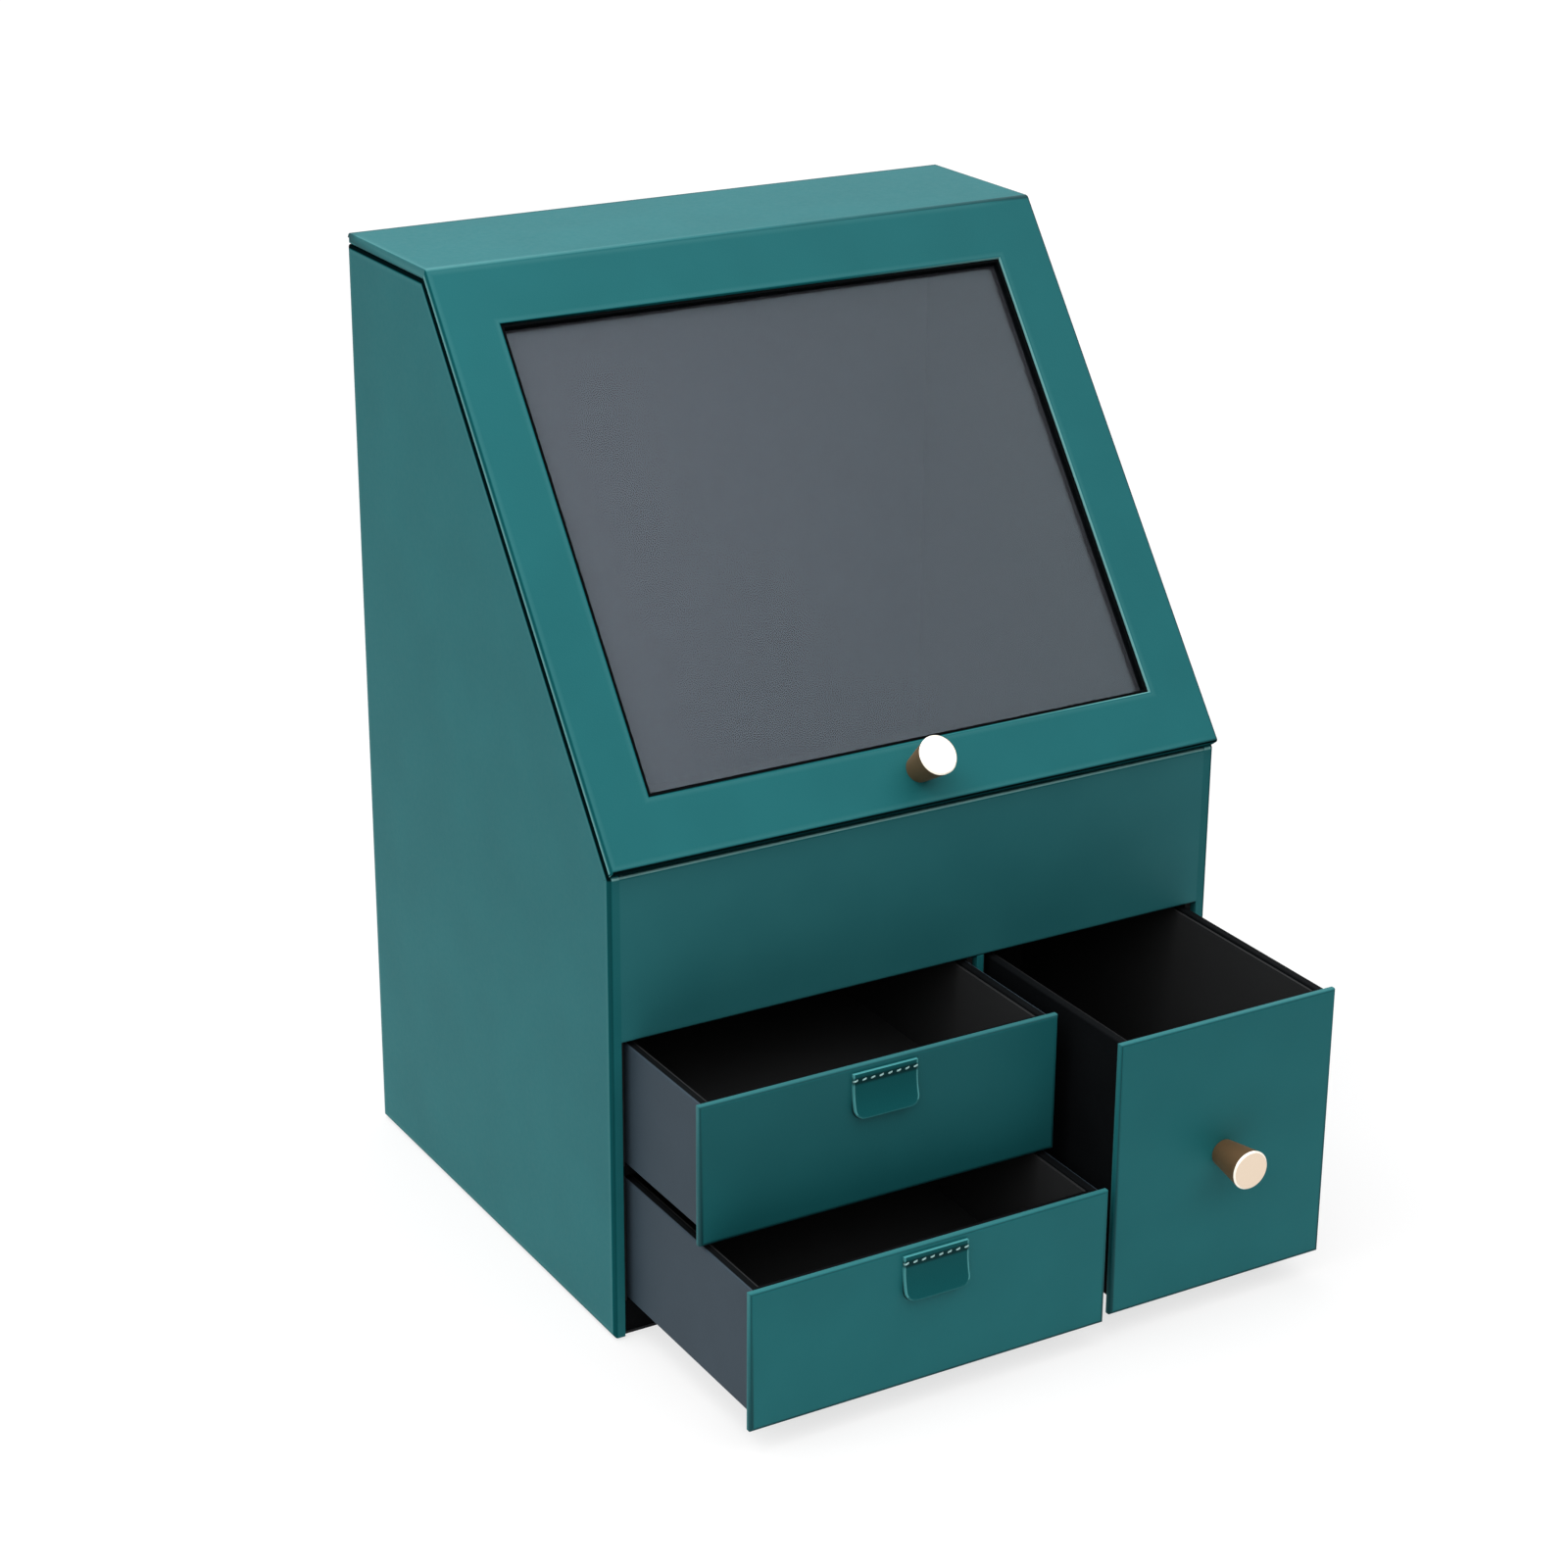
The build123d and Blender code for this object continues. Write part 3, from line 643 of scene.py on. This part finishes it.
def stitches(drawer):
    """The row of stitches on one tab."""
    low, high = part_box(drawer + "_pull_tab")
    face_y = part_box(drawer + "_front")[0].y - TAB_LEATHER
    middle = (low.x + high.x) / 2
    bm = bmesh.new()
    for n in range(STITCHES):
        centre = Vector((middle + (n - (STITCHES - 1) / 2) * STITCH_PITCH, face_y, high.z - SEAM_DOWN))
        rings = []
        for step in range(ARCH_STEPS + 1):
            share = 2 * step / ARCH_STEPS - 1
            sunk = THREAD * (STITCH_DIVE * share ** 4 - STITCH_PROUD)
            point = centre + Vector((share * STITCH_LENGTH / 2, sunk, share * STITCH_LEAN))
            rings.append([bm.verts.new(point + Vector((0, THREAD * cos(turn), THREAD * sin(turn))))
                          for turn in (2 * pi * s / THREAD_SIDES for s in range(THREAD_SIDES))])
        for one, other in zip(rings, rings[1:]):
            bridge(bm, one, other)
        bm.faces.new(rings[0][::-1])
        bm.faces.new(rings[-1])
    bmesh.ops.recalc_face_normals(bm, faces=bm.faces)
    piece_from(bm, drawer + "_tab_stitches", (polyester_thread,), drawer, "teal_leather")


for drawer in DRAWERS[:2]:
    stitches(drawer)


# Lid cover
# Two boards under one skin of leather: the flat top and the window frame, joined at a rounded fold.
# The skin is cut out for the window, turned in over the rim, and rounded at every outer edge. Its folds and
# ends carry painted highlights and painted shade, darkest at the right end and along the back.
FOLD_ROUND = 2.2 * MM
BACK_ROUND = 2 * MM
FOOT_ROUND = 1 * MM
LID_END_ROUND = 0.8 * MM
WINDOW_RIM_ROUND = 0.8 * MM
WINDOW_MARGIN = 25 * MM
ARC_STEPS = 8
END_LINE = 0.5 * MM
# END_DARK to BACK_LINE are the painted light on the lid's folds and ends: positive values are painted
# highlights, negative ones painted shade.
END_DARK = -0.3
LINE_FROM = 0.9 * MM
LINE_TO = 0.5 * MM
LINE_PALE = 0.67
TOP_END_PALE = 0.2
TOP_END_DARK = -0.6
WINDOW_RIM_PALE = 0.5
WINDOW_FOOT_DARK = -0.4
TURN_IN_PALE = 0.9
BACK_DARK = -0.9
BACK_LINE = -0.5
BACK_FADE = 9 * MM
FOOT_CLIMB = -0.6
FOOT_FACING = 0.9

# The lid's faces turn in small steps: quite straight, into a fold, and aside at all.
SQUARE = 0.999
IN_FOLD = 0.95
FAINT = 0.05


def lid_profile():
    """Corners of the lid's section with their radii, from the foot's inner corner round the outside to the
    back. With them come the slope's unit vector, the way that its face looks, and its lower outer corner."""
    apron_low, apron_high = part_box("front_apron")
    top_low, top_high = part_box("lid_top_board")
    slope = lid_slope()
    up = Vector((cos(slope), sin(slope)))
    out = Vector((-sin(slope), cos(slope)))
    corner = Vector((apron_low.y, apron_high.z))
    board_depth = top_high.z - top_low.z
    inner_foot = corner + up * LID_FOOT_GAP + out * LID_GAP
    foot = inner_foot + out * board_depth
    fold = Vector((top_high.y - TOP_DEPTH, top_high.z))
    inner_fold = inner_foot + up * ((top_low.z - inner_foot.y) / up.y)
    leaf_low, leaf_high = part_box("lid_hinge_leaf")
    corners = [
        (inner_foot, 0), (foot, FOOT_ROUND), (fold, FOLD_ROUND),
        (Vector((top_high.y, top_high.z)), BACK_ROUND),
        (Vector((top_high.y, leaf_high.z)), 0), (Vector((leaf_low.y, leaf_high.z)), 0),
        (Vector((leaf_low.y, top_low.z)), 0), (inner_fold, 0),
    ]
    return corners, up, out, foot


def with_arcs(corners):
    """The points of a section, with an arc in place of each corner that has a radius."""
    points = []
    for i, (corner, radius) in enumerate(corners):
        if not radius:
            points.append(corner)
            continue
        before = (corners[i - 1][0] - corner).normalized()
        after = (corners[(i + 1) % len(corners)][0] - corner).normalized()
        half = before.angle(after) / 2
        centre = corner + (before + after).normalized() * (radius / sin(half))
        reach = radius / tan(half)
        start = corner + before * reach - centre
        sweep = start.angle_signed(corner + after * reach - centre)
        for step in range(ARC_STEPS + 1):
            turn = -sweep * step / ARC_STEPS
            points.append(centre + Vector((start.x * cos(turn) - start.y * sin(turn),
                                           start.x * sin(turn) + start.y * cos(turn))))
    return points


def window_rim():
    """Half the window's width, and where it begins and ends up the slope."""
    corners, _, _, foot = lid_profile()
    length = (corners[2][0] - foot).length
    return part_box("window_trim")[1].x, WINDOW_MARGIN, length - WINDOW_MARGIN


def open_window(bm):
    """Cuts the window through the slope, from its face to its underside, and rounds the rim of its face."""
    _, up, out, foot = lid_profile()
    half, begin, end = window_rim()
    cuts = [((0, *(foot + up * begin)), (0, *up)), ((0, *(foot + up * end)), (0, *up)),
            ((-half, 0, 0), (1, 0, 0)), ((half, 0, 0), (1, 0, 0))]

    def along_slope():
        return [face for face in bm.faces if abs(face.normal.yz.dot(out)) > SQUARE]

    for place, way in cuts:
        sheet = along_slope()
        geometry = sheet + list({e for f in sheet for e in f.edges})
        geometry += list({v for f in sheet for v in f.verts})
        bmesh.ops.bisect_plane(bm, geom=geometry, plane_co=place, plane_no=way)

    def in_window(face):
        middle = face.calc_center_median()
        return abs(middle.x) < half and begin < (middle.yz - foot).dot(up) < end

    holes = [face for face in along_slope() if in_window(face)]
    rims = []
    for face in holes:
        ring = sorted(face.verts, key=lambda v: (round(v.co.x, 5), round(v.co.z, 5)))
        rims.append([ring[k] for k in (0, 1, 3, 2)])
    bmesh.ops.delete(bm, geom=holes, context="FACES_ONLY")
    inside, outside = sorted(rims, key=lambda ring: sum(v.co.z - v.co.y for v in ring))
    bridge(bm, outside, inside)
    bmesh.ops.recalc_face_normals(bm, faces=bm.faces)
    rounded(bm, ring_edges(bm, outside), WINDOW_RIM_ROUND)


def lid_cover():
    """The whole skin of the lid."""
    corners, up, out, foot = lid_profile()
    half_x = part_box("lid_top_board")[1].x
    points = with_arcs(corners)
    bm = bmesh.new()
    ends = [[bm.verts.new((x, p.x, p.y)) for p in points] for x in (-half_x, half_x)]
    walls = bridge(bm, *ends, flipped=True)
    middle = 1 + 3 * (ARC_STEPS + 1) // 2
    for end in ends:
        bm.faces.new([end[-1]] + end[:middle + 1])
        bm.faces.new(end[middle:])
    bmesh.ops.recalc_face_normals(bm, faces=bm.faces)
    at_ends = [edge for wall in walls for edge in wall.edges if edge.verts[0].co.x == edge.verts[1].co.x]
    rounded(bm, at_ends, LID_END_ROUND)
    flats = [face for face in bm.faces if abs(face.normal.x) > SQUARE]
    bmesh.ops.inset_region(bm, faces=flats, thickness=END_LINE, use_boundary=True, use_even_offset=True)
    back, top = corners[3][0]
    bmesh.ops.bisect_plane(bm, geom=bm.verts[:] + bm.edges[:] + bm.faces[:],
                           plane_co=(0, back - BACK_FADE, 0), plane_no=(0, 1, 0))
    open_window(bm)
    half, begin, end = window_rim()
    depth = (corners[1][0] - corners[0][0]).length

    def place_in(point):
        """How far up the slope a point is, how far under the slope's face, and how far under the top."""
        past = point.yz - foot
        return past.dot(up), -past.dot(out), top - point.z

    def by_window(point):
        return abs(point.x) < half + MM and begin - MM < place_in(point)[0] < end + MM

    def end_fold(vert, under, under_top):
        """At the ends, a painted highlight over the turned-in edge and a band of painted shade. The right
        fold is painted shade.
        """
        if vert.normal.x > 0 and min(under, under_top) < LID_END_ROUND - TOUCH:
            return -1.0
        if under_top < under:
            return TOP_END_PALE if under_top < depth / 2 else TOP_END_DARK
        if under > depth - LINE_TO:
            return -1.0
        return LINE_PALE if under > depth - LINE_FROM else END_DARK

    def lid_fold(vert):
        """Each fold's painted highlight or painted shade, by where it is: round the window, along the back,
        at the ends or the foot.
        """
        _, under, under_top = place_in(vert.co)
        aside = vert.normal.x
        climb = vert.normal.yz.dot(up)
        if by_window(vert.co):
            if abs(aside) > TURNED:
                return WINDOW_RIM_PALE if aside < 0 else -1.0
            return WINDOW_FOOT_DARK if climb > TURNED else 0.0
        if vert.normal.y > FAINT or vert.co.y > back - BACK_ROUND - TOUCH:
            return TURN_IN_PALE if vert.normal.z < 0 and abs(aside) > TURNED else BACK_DARK
        if abs(aside) > TURNED or aside > FAINT:
            return end_fold(vert, under, under_top)
        return -1.0 if climb < FOOT_CLIMB and under < depth - TOUCH else painted_light_from_above(vert)

    # Faces at the ends, the foot, the back fold and by the window rim take the leather with painted light.
    bm.normal_update()
    for face in bm.faces:
        middle = face.calc_center_median()
        along, under, under_top = place_in(middle)
        facing = face.normal.yz.dot(out)
        on_slope = abs(face.normal.x) > TURNED and under < under_top
        at_end = on_slope or FAINT < face.normal.x < FLAT
        at_foot = along < FOOT_ROUND and facing < FOOT_FACING
        at_back = FAINT < face.normal.y < IN_FOLD and face.normal.z > LEANING
        by_rim = by_window(middle) and FAINT < facing < IN_FOLD
        face.material_index = 1 if at_end or at_foot or at_back or by_rim else 0

    # Painted shade along the back, and the faint painted glow elsewhere but near the right end.
    def dark_at_back_and_right(vert):
        if vert.co.y > back - BACK_ROUND - 2 * RIM_BAND:
            return BACK_LINE
        return RIM_GLOW if vert.co.x < half_x - 4 * RIM_BAND else 0.0

    mark_rims(bm, lid_fold, dark_at_back_and_right)
    piece_from(bm, "lid_cover_wrapped", (teal_leather, painted_light_leather), "lid", "teal_leather",
               "lid_top_board", "lid_window_frame")


lid_cover()


# Window edge strip, pane and inner frame
# The clear acrylic pane lies behind the opening in a rebate of a flocked card frame. A matt black strip
# covers the cut edge of the board round it, so the reveal reads as a thin black line.
EDGING = 1.2 * MM
EDGING_DOWN = 0.9 * MM
EDGING_ROUND = 0.3 * MM
EDGING_DRAG = 2 * MM
PANE_HALF = 105 * MM
HAZE_DRIFT = 140 * MM


def black_edging():
    """Black vinyl edging: smooth, with a faint drag along it."""
    made, tree = new_material("black_vinyl_edging")
    place = add(tree, "TexCoord").outputs["Object"]
    drag = add(tree, "TexNoise", {"Vector": place, "Scale": 1 / EDGING_DRAG, "Detail": 3.0})
    gloss = add(tree, "MapRange", {"Value": drag.outputs["Fac"], "To Min": 0.45, "To Max": 0.65})
    surface = add(tree, "BsdfPrincipled", {
        "Base Color": linear("#020405"), "Roughness": gloss.outputs["Result"], "IOR": 1.5,
        "Specular IOR Level": 0.02})
    add(tree, "OutputMaterial", {"Surface": surface.outputs["BSDF"]})
    return made


def window_edging():
    """The strip as one closed ring against the cut edge of the opening."""
    corners, up, out, foot = lid_profile()
    half, begin, end = window_rim()
    board_depth = (corners[1][0] - corners[0][0]).length
    bm = bmesh.new()
    rings = []
    for inset, under in ((0, EDGING_DOWN), (EDGING, EDGING_DOWN), (EDGING, board_depth), (0, board_depth)):
        ring = []
        for x, along in ((inset - half, begin + inset), (half - inset, begin + inset),
                         (half - inset, end - inset), (inset - half, end - inset)):
            place = foot + up * along - out * under
            ring.append(bm.verts.new((x, place.x, place.y)))
        rings.append(ring)
    for ring, after in zip(rings, rings[1:] + rings[:1]):
        bridge(bm, ring, after)
    rounded(bm, ring_edges(bm, rings[1]), EDGING_ROUND)
    bmesh.ops.recalc_face_normals(bm, faces=bm.faces)
    piece_from(bm, "window_edging", (black_edging(),), "lid", "black_edge", "window_trim")


window_edging()


def clear_acrylic():
    """Cast acrylic with a coat that cuts its reflections, under a grey diffuse haze that thins out to the
    right, which is a painted reflection of the studio. Lamps reach what lies behind."""
    made, tree = new_material("clear_cast_acrylic")
    place = add(tree, "TexCoord").outputs["Object"]
    drift = add(tree, "TexNoise", {"Vector": place, "Scale": 1 / HAZE_DRIFT, "Detail": 1.0})
    apart = add(tree, "SeparateXYZ", {"Vector": place})
    # The haze is painted reflection, stronger at the left.
    thinner = add(tree, "MapRange", {"Value": apart.outputs["X"], "From Min": -PANE_HALF,
                                     "From Max": PANE_HALF, "To Min": 0.135, "To Max": 0.07})
    uneven = add(tree, "MapRange", {"Value": drift.outputs["Fac"], "To Min": 0.88, "To Max": 1.12})
    haze = add(tree, "Math", {0: thinner.outputs["Result"], 1: uneven.outputs["Result"]},
               operation="MULTIPLY")
    clear = add(tree, "BsdfPrincipled", {
        "Base Color": linear("#f4fafb"), "Roughness": 0.02, "IOR": 1.49, "Transmission Weight": 1.0,
        "Specular Tint": linear("#768b95")})
    reflection_haze = add(tree, "BsdfDiffuse", {"Color": linear("#767680")})
    surface = add(tree, "MixShader", {0: haze.outputs["Value"], 1: clear.outputs["BSDF"],
                                      2: reflection_haze.outputs["BSDF"]})
    through = add(tree, "BsdfTransparent", {"Color": linear("#f2f6f6")})
    path = add(tree, "LightPath")
    shown = add(tree, "MixShader", {0: path.outputs["Is Shadow Ray"], 1: surface.outputs["Shader"],
                                    2: through.outputs["BSDF"]})
    add(tree, "OutputMaterial", {"Surface": shown.outputs["Shader"]})
    return made


dress(clear_acrylic(), "window_pane")
dress(black_flock, "lid_lining_frame", "lid_top_lining")


# Knobs
# Turned from brass rod, wider towards the face, with a chamfer. Lacquered over a fine turned finish.
# The side is satin from the tool, and the face is polished, with the faintest rings. The side's brass is a
# darker copy, as painted shade, and the chamfer's near-white brass is a painted highlight.
KNOB_LENGTH = 17 * MM
KNOB_BASE = 10.5 / 2 * MM
KNOB_FACE = 15.5 / 2 * MM
KNOB_CHAMFER = 0.6 * MM
KNOB_SOFTENING = 0.12 * MM
KNOB_SIDES = 96
SIDE_ROWS = 4
RIM_ROWS = 7
LID_KNOB_UP = 14 * MM


def turned_brass(name, shade, metallic, roughness, ring, depth):
    """Brass from the lathe: fine rings round the knob's axis, along the way that the tool took."""
    made, tree = new_material(name)
    place = add(tree, "Attribute", attribute_name="turned").outputs["Fac"]
    wobble = add(tree, "TexNoise", {"W": place, "Scale": 1 / ring, "Detail": 3.0, "Roughness": 0.8},
                 noise_dimensions="1D")
    gloss = add(tree, "MapRange", {"Value": wobble.outputs["Fac"], "To Min": roughness - 0.04,
                                   "To Max": roughness + 0.06})
    bump = add(tree, "Bump", {"Height": wobble.outputs["Fac"], "Strength": 0.3, "Distance": depth})
    surface = add(tree, "BsdfPrincipled", {
        "Base Color": linear(shade), "Metallic": metallic, "Roughness": gloss.outputs["Result"],
        "Normal": bump.outputs["Normal"]})
    add(tree, "OutputMaterial", {"Surface": surface.outputs["BSDF"]})
    return made


# The satin side's darker brass is painted shade, and the rim's near-white brass a painted highlight.
satin_brass = turned_brass("satin_lacquered_brass", "#8e6b4b", 0.8, 0.5, 0.25 * MM, 0.02 * MM)
polished_brass = turned_brass("polished_brass_face", "#e6d2bc", 1.0, 0.16, 0.35 * MM, 0.008 * MM)
rim_brass_highlight = turned_brass("brass_rim_painted_highlight", "#fff8ea", 1.0, 0.3, 0.3 * MM, 0.004 * MM)


def knob(name, body, middle, axis):
    """A knob that stands on middle along axis."""
    near = KNOB_SOFTENING
    shoulder = KNOB_LENGTH - KNOB_CHAMFER
    flat = KNOB_FACE - KNOB_CHAMFER
    taper = (KNOB_FACE - KNOB_BASE) / shoulder
    rows = [
        (KNOB_BASE - near, 0), (KNOB_BASE, near), (KNOB_BASE + taper * KNOB_LENGTH / 2, KNOB_LENGTH / 2),
        (KNOB_FACE - near * taper, shoulder - near), (KNOB_FACE, shoulder),
        (KNOB_FACE - near, shoulder + near), (flat + near, KNOB_LENGTH - near),
        (flat, KNOB_LENGTH), (flat - near, KNOB_LENGTH),
        (KNOB_FACE / 2, KNOB_LENGTH), (KNOB_FACE / 8, KNOB_LENGTH),
    ]
    turn = Vector((0, 0, 1)).rotation_difference(Vector(axis))
    bm = bmesh.new()
    turned = bm.verts.layers.float.new("turned")
    rings = []
    for radius, height in rows:
        ring = []
        for side in range(KNOB_SIDES):
            angle = 2 * pi * side / KNOB_SIDES
            place = Vector((radius * cos(angle), radius * sin(angle), height))
            vert = bm.verts.new(Vector(middle) + turn @ place)
            vert[turned] = height + KNOB_FACE - radius
            ring.append(vert)
        rings.append(ring)
    for k, (one, other) in enumerate(zip(rings, rings[1:])):
        for face in bridge(bm, one, other):
            face.material_index = 0 if k < SIDE_ROWS else 2 if k < RIM_ROWS else 1
    bm.faces.new(rings[0][::-1])
    bm.faces.new(rings[-1]).material_index = 1
    piece_from(bm, name + "_turned", (satin_brass, polished_brass, rim_brass_highlight), body, "brass", name)


def tall_drawer_knob():
    """Screwed to the middle of the tall drawer's front."""
    low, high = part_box("tall_drawer_knob")
    face_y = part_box("tall_drawer_front")[0].y
    knob("tall_drawer_knob", "tall_drawer", ((low.x + high.x) / 2, face_y, (low.z + high.z) / 2), (0, -1, 0))


def lid_knob():
    """Screwed to the window frame's lower border, square to the slope."""
    _, up, out, foot = lid_profile()
    place = foot + up * LID_KNOB_UP
    knob("lid_knob", "lid", (0, *place), (0, *out))


tall_drawer_knob()
lid_knob()


# Knob screws
# Zinc-plated steel, with a pan head on the inside of the lid frame and of the tray.
# The plating is bright with a slight haze.
PLATING_HAZE = 1.5 * MM


def zinc_steel():
    """Bright zinc plate with a slight haze."""
    made, tree = new_material("zinc_plated_steel")
    place = add(tree, "TexCoord").outputs["Object"]
    haze = add(tree, "TexNoise", {"Vector": place, "Scale": 1 / PLATING_HAZE, "Detail": 3.0})
    gloss = add(tree, "MapRange", {"Value": haze.outputs["Fac"], "To Min": 0.25, "To Max": 0.45})
    surface = add(tree, "BsdfPrincipled", {
        "Base Color": linear("#8e9297"), "Metallic": 1.0, "Roughness": gloss.outputs["Result"]})
    add(tree, "OutputMaterial", {"Surface": surface.outputs["BSDF"]})
    return made


dress(zinc_steel(), "lid_knob_screw", "tall_drawer_knob_screw")


# Hinge strip
# A strip of the same leather let flush into the lid's back edge and the back panel. It is the whole hinge of
# the real box, which folds in the gap between them as the lid turns over the back edge; here it is built
# straight.
HINGE_ROWS = 24
BEND_REACH = 0.6 * MM


def hinge_strip():
    """The strip in one piece, with close rows where it bends."""
    low, leaf_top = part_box("back_hinge_leaf")
    lid_low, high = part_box("lid_hinge_leaf")
    begin = leaf_top.z - BEND_REACH
    end = lid_low.z + BEND_REACH
    bend = [begin + (end - begin) * i / HINGE_ROWS for i in range(HINGE_ROWS + 1)]
    heights = [low.z, begin - MM] + bend + [high.z]
    bm = bmesh.new()
    sides = [[[bm.verts.new((x, y, z)) for z in heights] for x in (low.x, leaf_top.x)]
             for y in (low.y, leaf_top.y)]
    (inner_left, inner_right), (outer_left, outer_right) = sides
    loops = (inner_left, inner_right, outer_right, outer_left)
    for k in range(len(heights) - 1):
        for one, other in zip(loops, loops[1:] + loops[:1]):
            bm.faces.new((one[k], other[k], other[k + 1], one[k + 1]))
    bm.faces.new([loop[0] for loop in loops][::-1])
    bm.faces.new([loop[-1] for loop in loops])
    bmesh.ops.recalc_face_normals(bm, faces=bm.faces)
    for face in bm.faces:
        face.smooth = False
    mesh = bpy.data.meshes.new("leather_hinge_strip")
    bm.to_mesh(mesh)
    bm.free()
    mesh.materials.append(teal_leather)
    strip = bpy.data.objects.new("leather_hinge_strip", mesh)
    bpy.context.scene.collection.objects.link(strip)
    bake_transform(strip)
    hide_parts("back_hinge_leaf", "lid_hinge_leaf")


hinge_strip()


# Floor and studio
# A white sweep that runs out of sight. It shows white to the camera, in gloss and through the pane, and
# keeps the shadow of the box.
FLOOR_HALF = 40.0
TABLE_REACH = 0.4
TABLE_FADE = 0.5
FLOOR_SHADE = "#848484"
FLOOR_GLOW = 0.72
ROOM_FILL = 0.1


def seen_directly(tree):
    """1 for rays from the camera, from gloss and through clear pieces, and 0 for the others."""
    path = add(tree, "LightPath")
    either = add(tree, "Math", {0: path.outputs["Is Camera Ray"], 1: path.outputs["Is Glossy Ray"]},
                 operation="MAXIMUM")
    return add(tree, "Math", {0: either.outputs["Value"], 1: path.outputs["Is Transmission Ray"]},
               operation="MAXIMUM").outputs["Value"]


def studio_floor():
    """Lit white for the camera. For other rays it reflects light round the box and is dark farther away."""
    bm = bmesh.new()
    corners = ((-1, -1), (1, -1), (1, 1), (-1, 1))
    bm.faces.new([bm.verts.new((x * FLOOR_HALF, y * FLOOR_HALF, 0)) for x, y in corners])
    mesh = bpy.data.meshes.new("studio_floor")
    bm.to_mesh(mesh)
    bm.free()
    made, tree = new_material("white_sweep")
    place = add(tree, "NewGeometry").outputs["Position"]
    away = add(tree, "VectorMath", {0: place}, operation="LENGTH")
    bounce = add(tree, "MapRange", {"Value": away.outputs["Value"], "From Min": TABLE_REACH,
                                    "From Max": TABLE_REACH + TABLE_FADE, "To Min": 1.0, "To Max": 0.0})
    white = add(tree, "Mix", {"Factor": bounce.outputs["Result"], "A": linear("#303030"),
                              "B": linear("#f0f0f0")}, data_type="RGBA")
    matt = add(tree, "BsdfDiffuse", {"Color": white.outputs["Result"]})
    shade = add(tree, "BsdfDiffuse", {"Color": linear(FLOOR_SHADE)})
    glow = add(tree, "Emission", {"Color": linear("#ffffff"), "Strength": FLOOR_GLOW})
    lit = add(tree, "AddShader", {0: shade.outputs["BSDF"], 1: glow.outputs["Emission"]})
    shown = add(tree, "MixShader", {0: seen_directly(tree), 1: matt.outputs["BSDF"],
                                    2: lit.outputs["Shader"]})
    add(tree, "OutputMaterial", {"Surface": shown.outputs["Shader"]})
    mesh.materials.append(made)
    floor = bpy.data.objects.new("studio_floor", mesh)
    bpy.context.scene.collection.objects.link(floor)


def studio_world():
    """White to the camera and in gloss, and a weak even fill for everything else."""
    world = bpy.data.worlds.new("white_studio")
    bpy.context.scene.world = world
    world.use_nodes = True
    tree = world.node_tree
    tree.nodes.clear()
    strength = add(tree, "MapRange", {"Value": seen_directly(tree), "To Min": ROOM_FILL, "To Max": 1.0})
    light = add(tree, "Background", {"Color": linear("#ffffff"), "Strength": strength.outputs["Result"]})
    add(tree, "OutputWorld", {"Surface": light.outputs["Background"]})


studio_floor()
studio_world()


# Lamps
# A very broad soft light overhead, and a small softbox close to the top left corner.
LAMPS_AIM = (0, 0, 0.2)
SKY_PLACE = (-0.3, 0.0, 2.0)
SKY_STRENGTH = 4.5
SKY_SPREAD = radians(120)
KEY_PLACE = (-0.34, -0.17, 0.68)
KEY_SIZE = 0.25
KEY_POWER = 0.95


def lamp(name, kind, place, **settings):
    """A lamp at a place, turned to the middle of the box."""
    data = bpy.data.lights.new(name, kind)
    for key, value in settings.items():
        setattr(data, key, value)
    made = bpy.data.objects.new(name, data)
    made.location = place
    made.rotation_mode = "QUATERNION"
    made.rotation_quaternion = (Vector(LAMPS_AIM) - Vector(place)).to_track_quat("-Z", "Y")
    bpy.context.scene.collection.objects.link(made)


lamp("sky", "SUN", SKY_PLACE, energy=SKY_STRENGTH, angle=SKY_SPREAD)
lamp("key", "AREA", KEY_PLACE, energy=KEY_POWER, size=KEY_SIZE)


# Camera
# In front of the left corner, a little above the lid, with a short telephoto lens.
CAMERA_PLACE = (-0.6421, -1.0945, 0.6698)
CAMERA_AZIMUTH = radians(-30.416)
CAMERA_ELEVATION = radians(21.842)
CAMERA_ROLL = radians(0.343)
CAMERA_LENS = 78.97
SENSOR = 36.0
NEAREST = 0.05
FARTHEST = 200.0


def main_camera():
    """The camera, whose angles are those of the way back from the box to it."""
    data = bpy.data.cameras.new("main_camera")
    data.lens = CAMERA_LENS
    data.sensor_width = SENSOR
    data.clip_start = NEAREST
    data.clip_end = FARTHEST
    made = bpy.data.objects.new("main_camera", data)
    level = cos(CAMERA_ELEVATION)
    back = Vector((sin(CAMERA_AZIMUTH) * level, -cos(CAMERA_AZIMUTH) * level, sin(CAMERA_ELEVATION)))
    made.location = CAMERA_PLACE
    made.rotation_mode = "QUATERNION"
    made.rotation_quaternion = (-back).to_track_quat("-Z", "Y") @ Quaternion((0, 0, 1), CAMERA_ROLL)
    bpy.context.scene.collection.objects.link(made)
    bpy.context.scene.camera = made


main_camera()
bpy.context.scene.view_settings.view_transform = "Standard"
